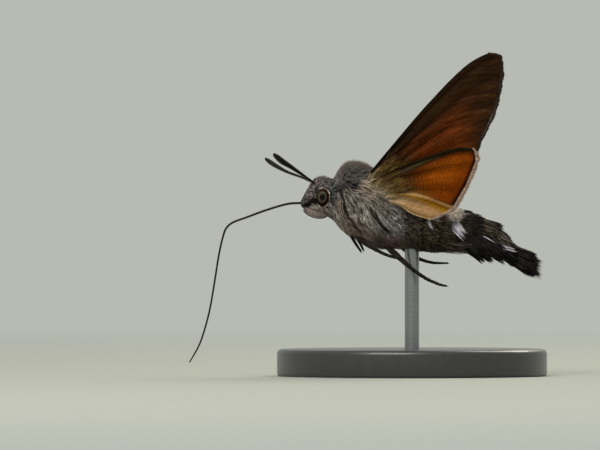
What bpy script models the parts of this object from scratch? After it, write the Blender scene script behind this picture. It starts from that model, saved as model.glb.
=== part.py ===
"""A hummingbird hawk moth hovering with raised wings, on a plain display stand.

Blender 4.5, metres, +Z up. The floor is Z = 0 and the origin is the middle of the stand's underside.
The moth faces -X, and its left side faces -Y. Sizes below are in millimetres.
"""

import math
import random

import bmesh
import bpy
from mathutils import Matrix, Vector

# Driving sizes
MM = 0.001
GAP = 0.3
FOREWING_LENGTH = 22.0
MEMBRANE = 0.5
RIDGE = 0.14
WING_SPACING = MEMBRANE + 2 * RIDGE + GAP
THORAX = Vector((-5.8, 0.0, 19.4))
ROD_RADIUS = 0.8
BASE_RADIUS = 15.0
BASE_THICKNESS = 3.0
BASE_BEVEL = 0.5
SIDES = 24
SEED = 7

# Where the thin cuts part the body, as distances behind the middle of the thorax
NECK_X = -2.9
WAIST_X = 4.45
TAIL_X = 16.9

# The body's own form: distance behind the thorax's middle, rise, half height and half width
BODY_FORM = (
    (-6.62, -0.26, 0.22, 0.40),
    (-6.22, -0.11, 0.67, 1.05),
    (-5.67, 0.20, 1.20, 1.65),
    (-5.00, 0.53, 1.76, 2.05),
    (-4.33, 0.64, 2.02, 2.20),
    (-3.60, 0.45, 2.15, 2.15),
    (-2.94, 0.16, 2.25, 2.05),
    (-2.45, 0.26, 2.95, 2.50),
    (-1.90, 0.33, 3.60, 2.95),
    (-1.10, 0.28, 4.06, 3.45),
    (0.00, 0.00, 4.34, 3.75),
    (1.10, -0.47, 4.36, 3.80),
    (2.20, -1.06, 4.10, 3.65),
    (3.33, -1.57, 3.68, 3.40),
    (4.44, -1.94, 3.28, 3.20),
    (5.56, -2.33, 3.00, 3.15),
    (8.00, -2.98, 2.69, 3.25),
    (11.10, -3.17, 2.40, 3.00),
    (13.40, -3.62, 1.85, 2.40),
    (14.60, -4.05, 1.55, 2.05),
    (15.80, -4.85, 1.30, 1.80),
    (16.90, -5.70, 1.20, 1.70),
    (17.80, -6.30, 1.10, 1.70),
    (18.60, -6.80, 0.80, 1.50),
)
RING_SHAPE = 2.2

# The abdomen's segments: where each starts, and how far its rear rim stands out
SEGMENT_STARTS = (4.6, 6.5, 8.4, 10.3, 12.1, 13.8, 15.3)
RIM = 0.10

# Locks of long scales over the abdomen's back. Each row is its place behind the thorax's middle, its
# first and last angle round the body in degrees from the left side over the back, how many locks it
# has, and their length, width and lift off the body in degrees
LOCK_THICKNESS = 0.56
LOCK_SINK = 0.4
BACK_LOCKS = (
    (12.0, 36, 144, 7, 2.5, 1.6, 17),
    (13.3, 18, 162, 9, 3.1, 1.6, 17),
    (14.7, 8, 172, 9, 2.5, 1.5, 16),
)
# Locks on each side, pale and dark: place, angles, number, length, width, pitch down and splay outwards
SIDE_LOCKS = (
    (7.7, 12, 24, 2, 2.0, 1.0, 66, 14),
    (9.9, 4, 30, 3, 2.9, 1.2, 32, 18),
    (11.9, -50, -14, 3, 3.1, 1.5, 40, 16),
    (13.3, -44, -4, 4, 3.5, 1.5, 36, 17),
)

# The tail fan: where its locks start, and for each tier their rise there, length and pitch
FAN_ROOT = Vector((17.45, 0.0, -6.05))
FAN_TIERS = ((0.90, 2.65, -23.0), (0.32, 3.25, -28.0), (-0.28, 3.35, -31.0), (-0.88, 2.55, -33.0))
FAN_LOCKS = 9
FAN_SPREAD = 33.0
FAN_ROOT_HALF_WIDTH = 1.3
FAN_LOCK_WIDTH = 1.5

# Head pieces: middle, radii and pitch in degrees of the left one
EYE_AT = Vector((-4.12, -1.72, 0.37))
EYE_RADII = Vector((0.74, 0.80, 0.98))
PALP_AT = Vector((-4.95, -0.70, -1.22))
PALP_RADII = Vector((1.50, 0.52, 0.74))
PALP_PITCH = 16.0

# Feelers, as points on the way from the head to the tip, with a radius at each
LEFT_ANTENNA = (
    ((-4.30, -0.85, 1.45), 0.25),
    ((-4.78, -0.95, 1.84), 0.25),
    ((-5.67, -2.00, 2.47), 0.25),
    ((-6.57, -3.20, 3.09), 0.26),
    ((-7.70, -4.70, 3.89), 0.30),
    ((-8.56, -5.80, 4.40), 0.35),
    ((-9.11, -6.50, 4.86), 0.34),
    ((-9.60, -7.10, 5.24), 0.16),
)
RIGHT_ANTENNA = (
    ((-4.50, 0.85, 1.45), 0.25),
    ((-5.06, 0.95, 1.98), 0.25),
    ((-6.28, 2.40, 2.58), 0.25),
    ((-7.98, 4.40, 3.21), 0.29),
    ((-9.11, 5.70, 3.83), 0.35),
    ((-9.86, 6.50, 4.34), 0.34),
    ((-10.50, 7.20, 4.78), 0.16),
)

# The proboscis: out of the mouth, over a bend, and down
PROBOSCIS = (
    (-6.10, -0.17),
    (-7.60, -0.22),
    (-8.84, -0.48),
    (-10.70, -1.07),
    (-12.56, -1.76),
    (-14.04, -2.31),
    (-14.80, -2.93),
    (-15.20, -3.92),
    (-15.67, -6.03),
    (-16.16, -9.13),
    (-16.66, -11.98),
    (-17.27, -14.33),
    (-17.90, -16.08),
    (-18.94, -17.93),
)
PROBOSCIS_RADIUS = 0.25
PROBOSCIS_PARTS = {"proboscis_base": (0.0, 0.31), "proboscis_bend": (0.31, 0.46), "proboscis_end": (0.46, 1.0)}

# Legs of the left side, from inside the thorax to the tip, with a radius at each point
FORELEG = (
    ((-1.60, -2.00, 0.20), 0.34),
    ((-2.15, -3.10, -0.30), 0.38),
    ((-2.00, -3.40, -1.40), 0.38),
    ((-1.30, -3.00, -3.00), 0.34),
    ((-0.45, -2.30, -4.45), 0.27),
    ((0.42, -1.60, -5.45), 0.14),
)
MIDLEG = (
    ((-0.30, -1.40, -3.60), 0.32),
    ((0.45, -2.00, -4.55), 0.32),
    ((1.65, -2.35, -5.26), 0.29),
    ((2.60, -2.55, -5.78), 0.27),
    ((3.60, -2.70, -6.15), 0.26),
    ((4.76, -2.75, -6.45), 0.14),
)
HINDLEG = (
    ((2.60, -1.00, -4.20), 0.40),
    ((3.35, -1.30, -5.30), 0.42),
    ((4.00, -1.45, -5.90), 0.42),
    ((4.55, -1.55, -6.40), 0.36),
    ((5.80, -1.70, -7.49), 0.27),
    ((7.30, -1.80, -8.53), 0.26),
    ((8.80, -1.90, -9.20), 0.25),
    ((9.70, -1.90, -9.40), 0.14),
)
RIGHT_HINDLEG = (
    ((3.80, 0.90, -4.20), 0.36),
    ((4.65, 1.30, -5.10), 0.34),
    ((5.95, 1.60, -6.00), 0.27),
    ((7.00, 1.75, -6.52), 0.26),
    ((8.20, 1.85, -6.82), 0.25),
    ((9.90, 1.90, -6.87), 0.14),
)

# The wings: the left hinge, the way to the tip, the way to the trailing edge, and each wing's edges
# in the wing's own plane, as distances along the span and along the chord
HINGE = Vector((0.78, -2.80, 3.00))
SPAN = Vector((0.665, -0.435, 0.607)).normalized()
CHORD = Vector((0.6985, 0.0758, -0.711))
RIGHT_WING_LAG = 3.0
TIP_BEND = 0.8
FOREWING = {
    "front": ((-1.6, 0.3), (4.7, -0.5), (11.6, -1.25), (17.8, -1.45), (21.7, -0.45)),
    "outer": ((21.7, -0.45), (22.0, 0.9), (19.7, 2.6), (17.3, 4.2), (14.0, 5.6), (11.6, 6.9)),
    "inner": ((-1.6, 1.9), (2.5, 3.1), (7.0, 5.0), (11.6, 6.9)),
    "veins": (0.10, 0.21, 0.32, 0.44, 0.56, 0.68, 0.80, 0.93),
    "stems": (0.12, 0.18, 0.24, 0.30, 0.56, 0.62, 0.68, 0.90),
}
HINDWING = {
    "front": ((-2.2, 1.5), (2.0, 1.2), (6.4, 2.6), (10.5, 4.4), (12.0, 5.9)),
    "outer": ((12.0, 5.9), (11.0, 7.0), (7.9, 8.3), (4.9, 9.05), (2.3, 8.75)),
    "inner": ((-2.2, 2.8), (0.2, 4.2), (1.0, 6.6), (2.3, 8.75)),
    "veins": (0.14, 0.29, 0.43, 0.56, 0.69, 0.84),
    "stems": (0.16, 0.24, 0.32, 0.58, 0.66, 0.84),
}
CELL_END = 0.42
SPAN_STEPS = 11
RIDGE_HALF_WIDTH = 0.22

# Materials: colour, roughness and metallic value
FINISHES = {
    "grey_scales": ((0.19, 0.165, 0.145), 0.85, 0.0),
    "dark_scales": ((0.03, 0.025, 0.022), 0.8, 0.0),
    "pale_scales": ((0.42, 0.36, 0.33), 0.85, 0.0),
    "brown_wing": ((0.10, 0.045, 0.018), 0.7, 0.0),
    "orange_wing": ((0.45, 0.17, 0.02), 0.7, 0.0),
    "chitin": ((0.02, 0.014, 0.01), 0.35, 0.0),
    "eye": ((0.05, 0.03, 0.02), 0.12, 0.0),
    "steel": ((0.55, 0.55, 0.56), 0.3, 1.0),
    "lacquer": ((0.03, 0.03, 0.032), 0.4, 0.0),
}


def clear_scene():
    for obj in list(bpy.data.objects):
        bpy.data.objects.remove(obj)


def make_collection(name):
    made = bpy.data.collections.new(name)
    bpy.context.scene.collection.children.link(made)
    return made


def finish(name):
    """The material of that name, made the first time that it is asked for."""
    found = bpy.data.materials.get(name)
    if found:
        return found
    colour, roughness, metallic = FINISHES[name]
    made = bpy.data.materials.new(name)
    made.use_nodes = True
    shader = made.node_tree.nodes["Principled BSDF"]
    shader.inputs["Base Color"].default_value = (*colour, 1.0)
    shader.inputs["Roughness"].default_value = roughness
    shader.inputs["Metallic"].default_value = metallic
    return made


def new_object(name, mesh, collection, material=None):
    obj = bpy.data.objects.new(name, mesh)
    collection.objects.link(obj)
    if material:
        mesh.materials.append(finish(material))
    return obj


def from_bmesh(name, bm, collection, material=None):
    bmesh.ops.recalc_face_normals(bm, faces=bm.faces)
    mesh = bpy.data.meshes.new(name)
    bm.to_mesh(mesh)
    bm.free()
    return new_object(name, mesh, collection, material)


def hide_helper(obj):
    obj.hide_render = True
    obj.display_type = "WIRE"
    return obj


def keep_largest_body(mesh):
    """Deletes every closed surface of the mesh but the one with the most faces."""
    bm = bmesh.new()
    bm.from_mesh(mesh)
    unseen = set(bm.faces)
    bodies = []
    while unseen:
        body, edge_of_search = set(), [unseen.pop()]
        while edge_of_search:
            face = edge_of_search.pop()
            body.add(face)
            for edge in face.edges:
                for other in edge.link_faces:
                    if other in unseen:
                        unseen.remove(other)
                        edge_of_search.append(other)
        bodies.append(body)
    largest = max(bodies, key=len)
    loose = [face for body in bodies if body is not largest for face in body]
    bmesh.ops.delete(bm, geom=loose, context="FACES")
    bm.to_mesh(mesh)
    bm.free()


def apply_modifiers(obj):
    graph = bpy.context.evaluated_depsgraph_get()
    mesh = bpy.data.meshes.new_from_object(obj.evaluated_get(graph))
    mesh.name = obj.name
    obj.modifiers.clear()
    obj.data = mesh
    keep_largest_body(mesh)
    return obj


def combine(obj, operation, others):
    """Joins or cuts the object with every mesh of a collection, and removes them where they are joined."""
    boolean = obj.modifiers.new(operation.title(), "BOOLEAN")
    boolean.operation = operation
    boolean.operand_type = "COLLECTION"
    boolean.collection = others
    apply_modifiers(obj)
    if operation == "UNION":
        for other in list(others.objects):
            bpy.data.objects.remove(other)
    return obj


def cut_by(obj, cutter):
    boolean = obj.modifiers.new("Root cut", "BOOLEAN")
    boolean.operation = "DIFFERENCE"
    boolean.object = cutter
    return apply_modifiers(obj)


def smooth_shade(obj, sharp_degrees=50.0):
    obj.data.shade_smooth()
    obj.data.set_sharp_from_angle(angle=math.radians(sharp_degrees))
    return obj


def spline_at(points, t):
    """A point on the smooth curve through the points, with t from 0 to 1."""
    spans = len(points) - 1
    place = min(max(t, 0.0), 1.0) * spans
    i = min(int(place), spans - 1)
    f = place - i
    b, c = Vector(points[i]), Vector(points[i + 1])
    a = Vector(points[i - 1]) if i > 0 else b * 2 - c
    d = Vector(points[i + 2]) if i + 2 <= spans else c * 2 - b
    return 0.5 * (2 * b + (c - a) * f + (2 * a - 5 * b + 4 * c - d) * f**2 + (3 * b - a - 3 * c + d) * f**3)


def stretch_of(points, start, end, inset, samples=160, kept=9):
    """Evenly spaced points of the smooth curve between two shares of its length, each end held back."""
    dense = [spline_at(points, k / samples) for k in range(samples + 1)]
    reach = [0.0]
    for a, b in zip(dense, dense[1:]):
        reach.append(reach[-1] + (b - a).length)
    found = []
    for wanted in evenly(start * reach[-1] + inset, end * reach[-1] - inset, kept - 1):
        k = max(j for j in range(samples) if reach[j] <= wanted)
        share = (wanted - reach[k]) / (reach[k + 1] - reach[k])
        found.append(dense[k].lerp(dense[k + 1], share))
    return found


def body_form(x):
    """Rise, half height and half width of the body at this distance behind the thorax's middle."""
    rows = BODY_FORM
    i = max(j for j in range(len(rows) - 1) if rows[j][0] <= x or j == 0)
    f = min(max((x - rows[i][0]) / (rows[i + 1][0] - rows[i][0]), 0.0), 1.0)
    before, after = rows[max(i - 1, 0)], rows[min(i + 2, len(rows) - 1)]
    found = []
    for k in (1, 2, 3):
        step = rows[i + 1][0] - rows[i][0]
        slope_a = (rows[i + 1][k] - before[k]) / max(rows[i + 1][0] - before[0], 1e-6) * step
        slope_b = (after[k] - rows[i][k]) / max(after[0] - rows[i][0], 1e-6) * step
        h00, h10 = 2 * f**3 - 3 * f**2 + 1, f**3 - 2 * f**2 + f
        h01, h11 = -2 * f**3 + 3 * f**2, f**3 - f**2
        found.append(h00 * rows[i][k] + h10 * slope_a + h01 * rows[i + 1][k] + h11 * slope_b)
    return found


def body_point(x, angle, grow=0.0):
    """A point on the body's surface. The angle runs from the left side, through the back, to the right side."""
    rise, half_height, half_width = body_form(x)
    c, s = math.cos(angle), math.sin(angle)
    power = 2 / RING_SHAPE
    y = -math.copysign(abs(c) ** power, c) * (half_width + grow)
    z = math.copysign(abs(s) ** power, s) * (half_height + grow)
    return THORAX + Vector((x, y, rise + z))


def body_directions(x, angle):
    """Out of the body, rearwards along it, and round it from the left side over the back."""
    step = 0.05
    along = (body_point(x + step, angle) - body_point(x - step, angle)).normalized()
    around = (body_point(x, angle + step) - body_point(x, angle - step)).normalized()
    return along.cross(around).normalized(), along, around


def loft(name, rings, collection, material=None):
    """A closed skin over rings of points, all with the same number of points."""
    bm = bmesh.new()
    loops = [[bm.verts.new(point * MM) for point in ring] for ring in rings]
    count = len(rings[0])
    for first, second in zip(loops, loops[1:]):
        for k in range(count):
            m = (k + 1) % count
            bm.faces.new((first[k], first[m], second[m], second[k]))
    for loop in (loops[0], loops[-1]):
        bm.faces.new(loop)
    bmesh.ops.triangulate(bm, faces=[f for f in bm.faces if len(f.verts) > 4])
    return from_bmesh(name, bm, collection, material)


def body_rings(places, grow=0.0):
    """Rings of points round the body, standing out from it by grow."""
    return [[body_point(x, math.tau * k / SIDES, grow) for k in range(SIDES)] for x in places]


def abdomen_rings():
    """Rings that swell towards the rear rim of each segment and step in at the next."""
    starts = (WAIST_X + GAP / 2, *SEGMENT_STARTS[1:], TAIL_X - GAP / 2)
    rings = []
    for start, end in zip(starts, starts[1:]):
        middle = (start + end) / 2
        for x, grow in ((start, 0.0), (middle, RIM * 0.7), (end - RIM, RIM)):
            rings += body_rings([x], grow)
    return rings + body_rings([starts[-1]], 0.0)


def evenly(start, end, steps):
    return [start + (end - start) * k / steps for k in range(steps + 1)]


def tube(name, points, radii, collection, material=None, samples=14, sides=2):
    """A round bar through the points, as a closed mesh. Its bevel has 4 + 2 * sides corners."""
    data = bpy.data.curves.new(name, "CURVE")
    data.dimensions = "3D"
    data.bevel_depth = MM
    data.bevel_resolution = sides
    data.use_fill_caps = True
    line = data.splines.new("POLY")
    line.points.add(samples)
    for k in range(samples + 1):
        t = k / samples
        line.points[k].co = (*(spline_at(points, t) * MM), 1.0)
        line.points[k].radius = spline_at([(r, 0.0, 0.0) for r in radii], t).x
    curve = new_object(name + "_route", data, collection)
    graph = bpy.context.evaluated_depsgraph_get()
    mesh = bpy.data.meshes.new_from_object(curve.evaluated_get(graph))
    bpy.data.objects.remove(curve)
    bm = bmesh.new()
    bm.from_mesh(mesh)
    bmesh.ops.remove_doubles(bm, verts=bm.verts, dist=1e-6)
    bpy.data.meshes.remove(mesh)
    return from_bmesh(name, bm, collection, material)


def limb(name, rows, collection, material, side=1.0, samples=14, sides=2):
    """A feeler or leg through rows of point and radius, placed from the thorax. Side -1 mirrors it."""
    points = [THORAX + Vector((x, y * side, z)) for (x, y, z), _ in rows]
    return tube(name, points, [radius for _, radius in rows], collection, material, samples, sides)


def ball(name, middle, radii, collection, material=None, pitch=0.0, grow=0.0, segments=16, rings=10):
    bm = bmesh.new()
    bmesh.ops.create_uvsphere(bm, u_segments=segments, v_segments=rings, radius=1.0)
    size = Matrix.Diagonal((*(radii[k] + grow for k in range(3)), 1.0))
    turn = Matrix.Rotation(math.radians(pitch), 4, "Y") @ size @ Matrix.Rotation(math.pi / 2, 4, "X")
    bmesh.ops.transform(bm, matrix=Matrix.Translation(THORAX + middle) @ turn, verts=bm.verts)
    bmesh.ops.scale(bm, vec=(MM, MM, MM), verts=bm.verts)
    return from_bmesh(name, bm, collection, material)


def mirrored(v):
    return Vector((v.x, -v.y, v.z))


def lock(root, along, out, length, width, collection, curl=0.12):
    """A flat, tapered lock of long scales. Its tip bends back towards the body by a share of its length."""
    side = along.cross(out).normalized()
    out = side.cross(along).normalized()
    bm = bmesh.new()
    loops = []
    for t, broad, deep in ((0.0, 0.8, 1.0), (0.5, 1.0, 0.95), (0.85, 0.62, 0.8)):
        middle = root + along * length * t - out * length * curl * t**2
        across, over = side * width / 2 * broad, out * LOCK_THICKNESS / 2 * deep
        corners = (middle - across, middle + over, middle + across, middle - over)
        loops.append([bm.verts.new(point * MM) for point in corners])
    tip = bm.verts.new((root + along * length - out * length * curl) * MM)
    for first, second in zip(loops, loops[1:]):
        for k in range(4):
            bm.faces.new((first[k], first[(k + 1) % 4], second[(k + 1) % 4], second[k]))
    for k in range(4):
        bm.faces.new((loops[-1][k], loops[-1][(k + 1) % 4], tip))
    bm.faces.new(loops[0])
    return from_bmesh("lock", bm, collection)


def body_lock(x, angle, along, length, width, collection):
    """A lock rooted in the body that runs the given way."""
    out, _, _ = body_directions(x, angle)
    root = body_point(x + random.uniform(-0.1, 0.1), angle) - out * LOCK_SINK
    lock(root, along.normalized(), out, length * random.uniform(0.92, 1.06), width, collection, 0.05)


def back_row(row, collection):
    """A row of locks that lie rearwards over the back, lifted a little."""
    x, first, last, count, length, width, lift = row
    for degrees in evenly(first, last, count - 1):
        angle = math.radians(degrees)
        out, rearwards, _ = body_directions(x, angle)
        rise = math.radians(lift + random.uniform(-2, 2))
        body_lock(x, angle, rearwards * math.cos(rise) + out * math.sin(rise), length, width, collection)


def side_row(row, collection):
    """A row of locks on the left side and its mirror image on the right one."""
    x, first, last, count, length, width, pitch, splay = row
    for degrees in evenly(first, last, count - 1):
        down = math.radians(pitch + random.uniform(-5, 5))
        outwards = math.radians(splay)
        for side in (-1.0, 1.0):
            level = math.cos(outwards)
            along = Vector((math.cos(down) * level, side * math.sin(outwards), -math.sin(down) * level))
            angle = math.radians(degrees if side < 0 else 180 - degrees)
            body_lock(x, angle, along, length, width, collection)


def fan_lock(rise, length, pitch, share, collection):
    """A lock of the tail fan. Share runs from -1 at the left edge to 1 at the right one."""
    yaw = math.radians(FAN_SPREAD * share)
    tilt = math.radians(pitch + random.uniform(-4, 4))
    along = Vector((math.cos(tilt) * math.cos(yaw), math.sin(yaw), math.sin(tilt) * math.cos(yaw)))
    out = Vector((math.sin(-tilt), 0.0, math.cos(tilt)))
    root = THORAX + FAN_ROOT + Vector((0.0, share * FAN_ROOT_HALF_WIDTH, rise))
    shorter = 1.0 - 0.12 * share**2 + random.uniform(-0.06, 0.06)
    return lock(root, along.normalized(), out, length * shorter, FAN_LOCK_WIDTH, collection, 0.0)


def wing_point(place, lift, side):
    """From the wing's own plane to the room. Lift is outwards, away from the other wing."""
    out = SPAN.cross(CHORD).normalized()
    if out.y > 0:
        out = -out
    s, c = place[0], place[1]
    bend = TIP_BEND * (max(s, 0.0) / FOREWING_LENGTH) ** 2
    point = HINGE + SPAN * s + CHORD * c + out * (lift - bend)
    if side < 0:
        swing = Matrix.Rotation(math.radians(RIGHT_WING_LAG), 3, "Y")
        point = mirrored(HINGE + swing @ (point - HINGE))
    return THORAX + point


def vein_lines(form, t):
    """Where the grid's lines cross the wing at t along the span: the edges, and three to a vein."""
    spread = min(max((t - 0.12) / (CELL_END - 0.12), 0.0), 1.0)
    spread = spread * spread * (3 - 2 * spread)
    veins = [stem + (end - stem) * spread for stem, end in zip(form["stems"], form["veins"])]
    chord = (Vector(spline_at(as_3d(form["front"]), t)) - Vector(spline_at(as_3d(form["inner"]), t))).length
    half = [RIDGE_HALF_WIDTH / chord] * len(veins)
    for k in range(len(veins) - 1):
        room = 0.4 * (veins[k + 1] - veins[k])
        half[k] = min(half[k], room)
        half[k + 1] = min(half[k + 1], room)
    lines = [0.0, 0.035]
    for v, h in zip(veins, half):
        lines += [v - h, v, v + h]
    return lines + [1.0]


def as_3d(points):
    return [(x, y, 0.0) for x, y in points]


def edge_blend(form, t, v):
    """A place inside the wing's four edges, t along the span and v from the front edge to the rear."""
    front, inner = as_3d(form["front"]), as_3d(form["inner"])
    outer = as_3d(form["outer"])
    f, n = spline_at(front, t), spline_at(inner, t)
    o = spline_at(outer, v)
    root = Vector(front[0]).lerp(Vector(inner[0]), v)
    corners = (Vector(front[0]) * (1 - t) + Vector(front[-1]) * t) * (1 - v)
    corners += (Vector(inner[0]) * (1 - t) + Vector(inner[-1]) * t) * v
    return f * (1 - v) + n * v + root * (1 - t) + o * t - corners


def wing(name, form, lift, side, collection, material):
    """A membrane with raised veins: a grid bent to the wing's edges, thickened most along its veins."""
    across = len(vein_lines(form, 0.5)) - 1
    bm = bmesh.new()
    bmesh.ops.create_grid(bm, x_segments=SPAN_STEPS, y_segments=across, size=0.5)
    raised = []
    for vert in bm.verts:
        i = round((vert.co.x + 0.5) * SPAN_STEPS)
        j = round((vert.co.y + 0.5) * across)
        t = i / SPAN_STEPS
        v = vein_lines(form, t)[j]
        vert.co = wing_point(edge_blend(form, t, v), lift, side) * MM
        if j == 0 or (j >= 2 and (j - 3) % 3 == 0 and j < across):
            raised.append(vert.index)
    bmesh.ops.triangulate(bm, faces=bm.faces)
    mesh = bpy.data.meshes.new(name)
    bm.to_mesh(mesh)
    bm.free()
    obj = new_object(name, mesh, collection, material)
    veins = obj.vertex_groups.new(name="veins")
    veins.add(raised, 1.0, "REPLACE")
    solid = obj.modifiers.new("Membrane", "SOLIDIFY")
    solid.thickness = (MEMBRANE + 2 * RIDGE) * MM
    solid.offset = 0.0
    solid.vertex_group = "veins"
    solid.thickness_vertex_group = MEMBRANE / (MEMBRANE + 2 * RIDGE)
    return obj


def make_head(parts, sockets):
    """The head with its eyes and palps, each in a socket that is larger by the gap."""
    head = loft("head", body_rings(evenly(BODY_FORM[0][0], NECK_X - GAP / 2, 9)), parts, "grey_scales")
    for side_name, side in (("left", 1.0), ("right", -1.0)):
        eye_at = Vector((EYE_AT.x, EYE_AT.y * side, EYE_AT.z))
        palp_at = Vector((PALP_AT.x, PALP_AT.y * side, PALP_AT.z))
        ball("eye_" + side_name, eye_at, EYE_RADII, parts, "eye")
        ball("palp_" + side_name, palp_at, PALP_RADII, parts, "pale_scales", PALP_PITCH, 0.0, 12, 8)
        hide_helper(ball("eye_socket_" + side_name, eye_at, EYE_RADII, sockets, grow=GAP))
        room = ball("palp_room_" + side_name, palp_at, PALP_RADII, sockets, None, PALP_PITCH, GAP, 12, 8)
        hide_helper(room)
    combine(head, "DIFFERENCE", sockets)


def make_trunk(parts):
    """Thorax, abdomen and tail fan, parted by thin cuts."""
    loft("thorax", body_rings(evenly(NECK_X + GAP / 2, WAIST_X - GAP / 2, 12)), parts, "grey_scales")
    locks = make_collection("locks")
    abdomen = loft("abdomen", abdomen_rings(), parts, "dark_scales")
    for row in BACK_LOCKS:
        back_row(row, locks)
    for row in SIDE_LOCKS:
        side_row(row, locks)
    combine(abdomen, "UNION", locks)
    tail_fan = loft("tail_fan", body_rings(evenly(TAIL_X + GAP / 2, BODY_FORM[-1][0], 3)), parts, "dark_scales")
    for rise, length, pitch in FAN_TIERS:
        for share in evenly(-1.0, 1.0, FAN_LOCKS - 1):
            fan_lock(rise, length, pitch, share, locks)
    combine(tail_fan, "UNION", locks)


def make_limbs(parts, head_cutter, trunk_cutter):
    """Feelers, proboscis and legs, with their roots cut to the body."""
    cut_by(limb("antenna_left", LEFT_ANTENNA, parts, "chitin"), head_cutter)
    cut_by(limb("antenna_right", RIGHT_ANTENNA, parts, "chitin"), head_cutter)
    route = [THORAX + Vector((x, 0.0, z)) for x, z in PROBOSCIS]
    for name, (start, end) in PROBOSCIS_PARTS.items():
        stretch = stretch_of(route, start, end, GAP / 2)
        tube(name, stretch, [PROBOSCIS_RADIUS] * len(stretch), parts, "chitin", 12)
    cut_by(bpy.data.objects["proboscis_base"], head_cutter)
    for name, rows, side in (
        ("foreleg_left", FORELEG, 1.0),
        ("foreleg_right", FORELEG, -1.0),
        ("midleg_left", MIDLEG, 1.0),
        ("midleg_right", MIDLEG, -1.0),
        ("hindleg_left", HINDLEG, 1.0),
        ("hindleg_right", RIGHT_HINDLEG, 1.0),
    ):
        cut_by(limb(name, rows, parts, "chitin", side), trunk_cutter)


def make_wings(parts, trunk_cutter):
    for side_name, side in (("left", 1.0), ("right", -1.0)):
        for name, form, lift, material in (
            ("forewing_", FOREWING, 0.0, "brown_wing"),
            ("hindwing_", HINDWING, WING_SPACING, "orange_wing"),
        ):
            cut_by(wing(name + side_name, form, lift, side, parts, material), trunk_cutter)


def make_stand(parts, belly_cutter):
    bpy.ops.mesh.primitive_cylinder_add(
        vertices=48, radius=BASE_RADIUS * MM, depth=BASE_THICKNESS * MM, location=(0, 0, BASE_THICKNESS / 2 * MM)
    )
    base = bpy.context.object
    base.name = "stand_base"
    bevel = base.modifiers.new("Rim", "BEVEL")
    bevel.width = BASE_BEVEL * MM
    bevel.segments = 2
    bevel.limit_method = "ANGLE"
    base.data.materials.append(finish("lacquer"))
    bottom = BASE_THICKNESS + GAP
    top = THORAX.z - 2.0
    bpy.ops.mesh.primitive_cylinder_add(
        vertices=20, radius=ROD_RADIUS * MM, depth=(top - bottom) * MM, location=(0, 0, (top + bottom) / 2 * MM)
    )
    rod = bpy.context.object
    rod.name = "stand_rod"
    rod.data.materials.append(finish("steel"))
    for obj in (base, rod):
        for holder in list(obj.users_collection):
            holder.objects.unlink(obj)
        parts.objects.link(obj)
    cut_by(rod, belly_cutter)


def main():
    clear_scene()
    random.seed(SEED)
    parts = make_collection("hawk_moth")
    cutters = make_collection("cutters")
    head_cutters = make_collection("head_cutters")
    for helpers in (cutters, head_cutters):
        helpers.hide_render = True

    # The trunk and the head, grown by the gap, cut the roots of all that meets them
    trunk_rings = body_rings(evenly(NECK_X, WAIST_X, 12), GAP)
    trunk_rings += body_rings(evenly(WAIST_X + GAP, TAIL_X, 15), GAP + RIM)
    trunk_cutter = hide_helper(loft("trunk_cutter", trunk_rings, cutters))
    head_rings = body_rings(evenly(BODY_FORM[0][0], NECK_X, 12), GAP)
    head_cutter = hide_helper(loft("head_cutter", head_rings, cutters))

    make_head(parts, head_cutters)
    make_trunk(parts)
    make_limbs(parts, head_cutter, trunk_cutter)
    make_wings(parts, trunk_cutter)
    make_stand(parts, trunk_cutter)
    for obj in parts.objects:
        smooth_shade(obj)


main()
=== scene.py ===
# %% [markdown]
# # A hummingbird hawk moth on a display stand
# A hawk moth hovers with raised wings and reaches down with a proboscis as long as its body. Here it is a
# still, life-size museum model on a plain stand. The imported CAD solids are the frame: every piece goes
# where they say, rides on their one body, and takes their place in the picture with fur, scales and veins.
# We work in millimetres, because an insect is measured in them, and turn them to metres at the last moment.

# %% Load the frame
import bmesh
import bpy
import math
import numpy as np
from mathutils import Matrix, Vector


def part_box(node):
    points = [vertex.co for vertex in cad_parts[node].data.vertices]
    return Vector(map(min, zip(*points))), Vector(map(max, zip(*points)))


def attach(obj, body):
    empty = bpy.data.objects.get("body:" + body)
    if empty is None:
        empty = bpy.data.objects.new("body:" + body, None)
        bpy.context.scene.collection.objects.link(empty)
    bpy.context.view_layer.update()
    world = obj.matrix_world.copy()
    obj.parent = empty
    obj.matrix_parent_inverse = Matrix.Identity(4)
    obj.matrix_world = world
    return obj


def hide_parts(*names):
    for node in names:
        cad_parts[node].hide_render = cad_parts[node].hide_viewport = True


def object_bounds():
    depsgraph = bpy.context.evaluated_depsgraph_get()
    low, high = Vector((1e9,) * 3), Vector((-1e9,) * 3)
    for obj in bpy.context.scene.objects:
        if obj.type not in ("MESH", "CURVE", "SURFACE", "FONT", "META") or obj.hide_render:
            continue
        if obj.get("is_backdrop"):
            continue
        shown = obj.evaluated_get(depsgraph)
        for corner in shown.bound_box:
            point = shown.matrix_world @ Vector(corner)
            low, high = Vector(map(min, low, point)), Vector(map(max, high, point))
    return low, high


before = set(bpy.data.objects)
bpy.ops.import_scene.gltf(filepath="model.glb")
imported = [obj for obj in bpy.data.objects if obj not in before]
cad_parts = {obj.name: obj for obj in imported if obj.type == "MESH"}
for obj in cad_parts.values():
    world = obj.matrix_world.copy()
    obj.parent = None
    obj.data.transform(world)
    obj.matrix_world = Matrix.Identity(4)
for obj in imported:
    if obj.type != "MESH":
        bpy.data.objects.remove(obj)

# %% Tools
from types import SimpleNamespace

MM = 0.001
TAU = math.tau
SIDES = (("left", 1.0), ("right", -1.0))
CAD_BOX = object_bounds()
print("frame:", len(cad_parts), "nodes, box", [[round(v / MM, 1) for v in c] for c in CAD_BOX])

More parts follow.
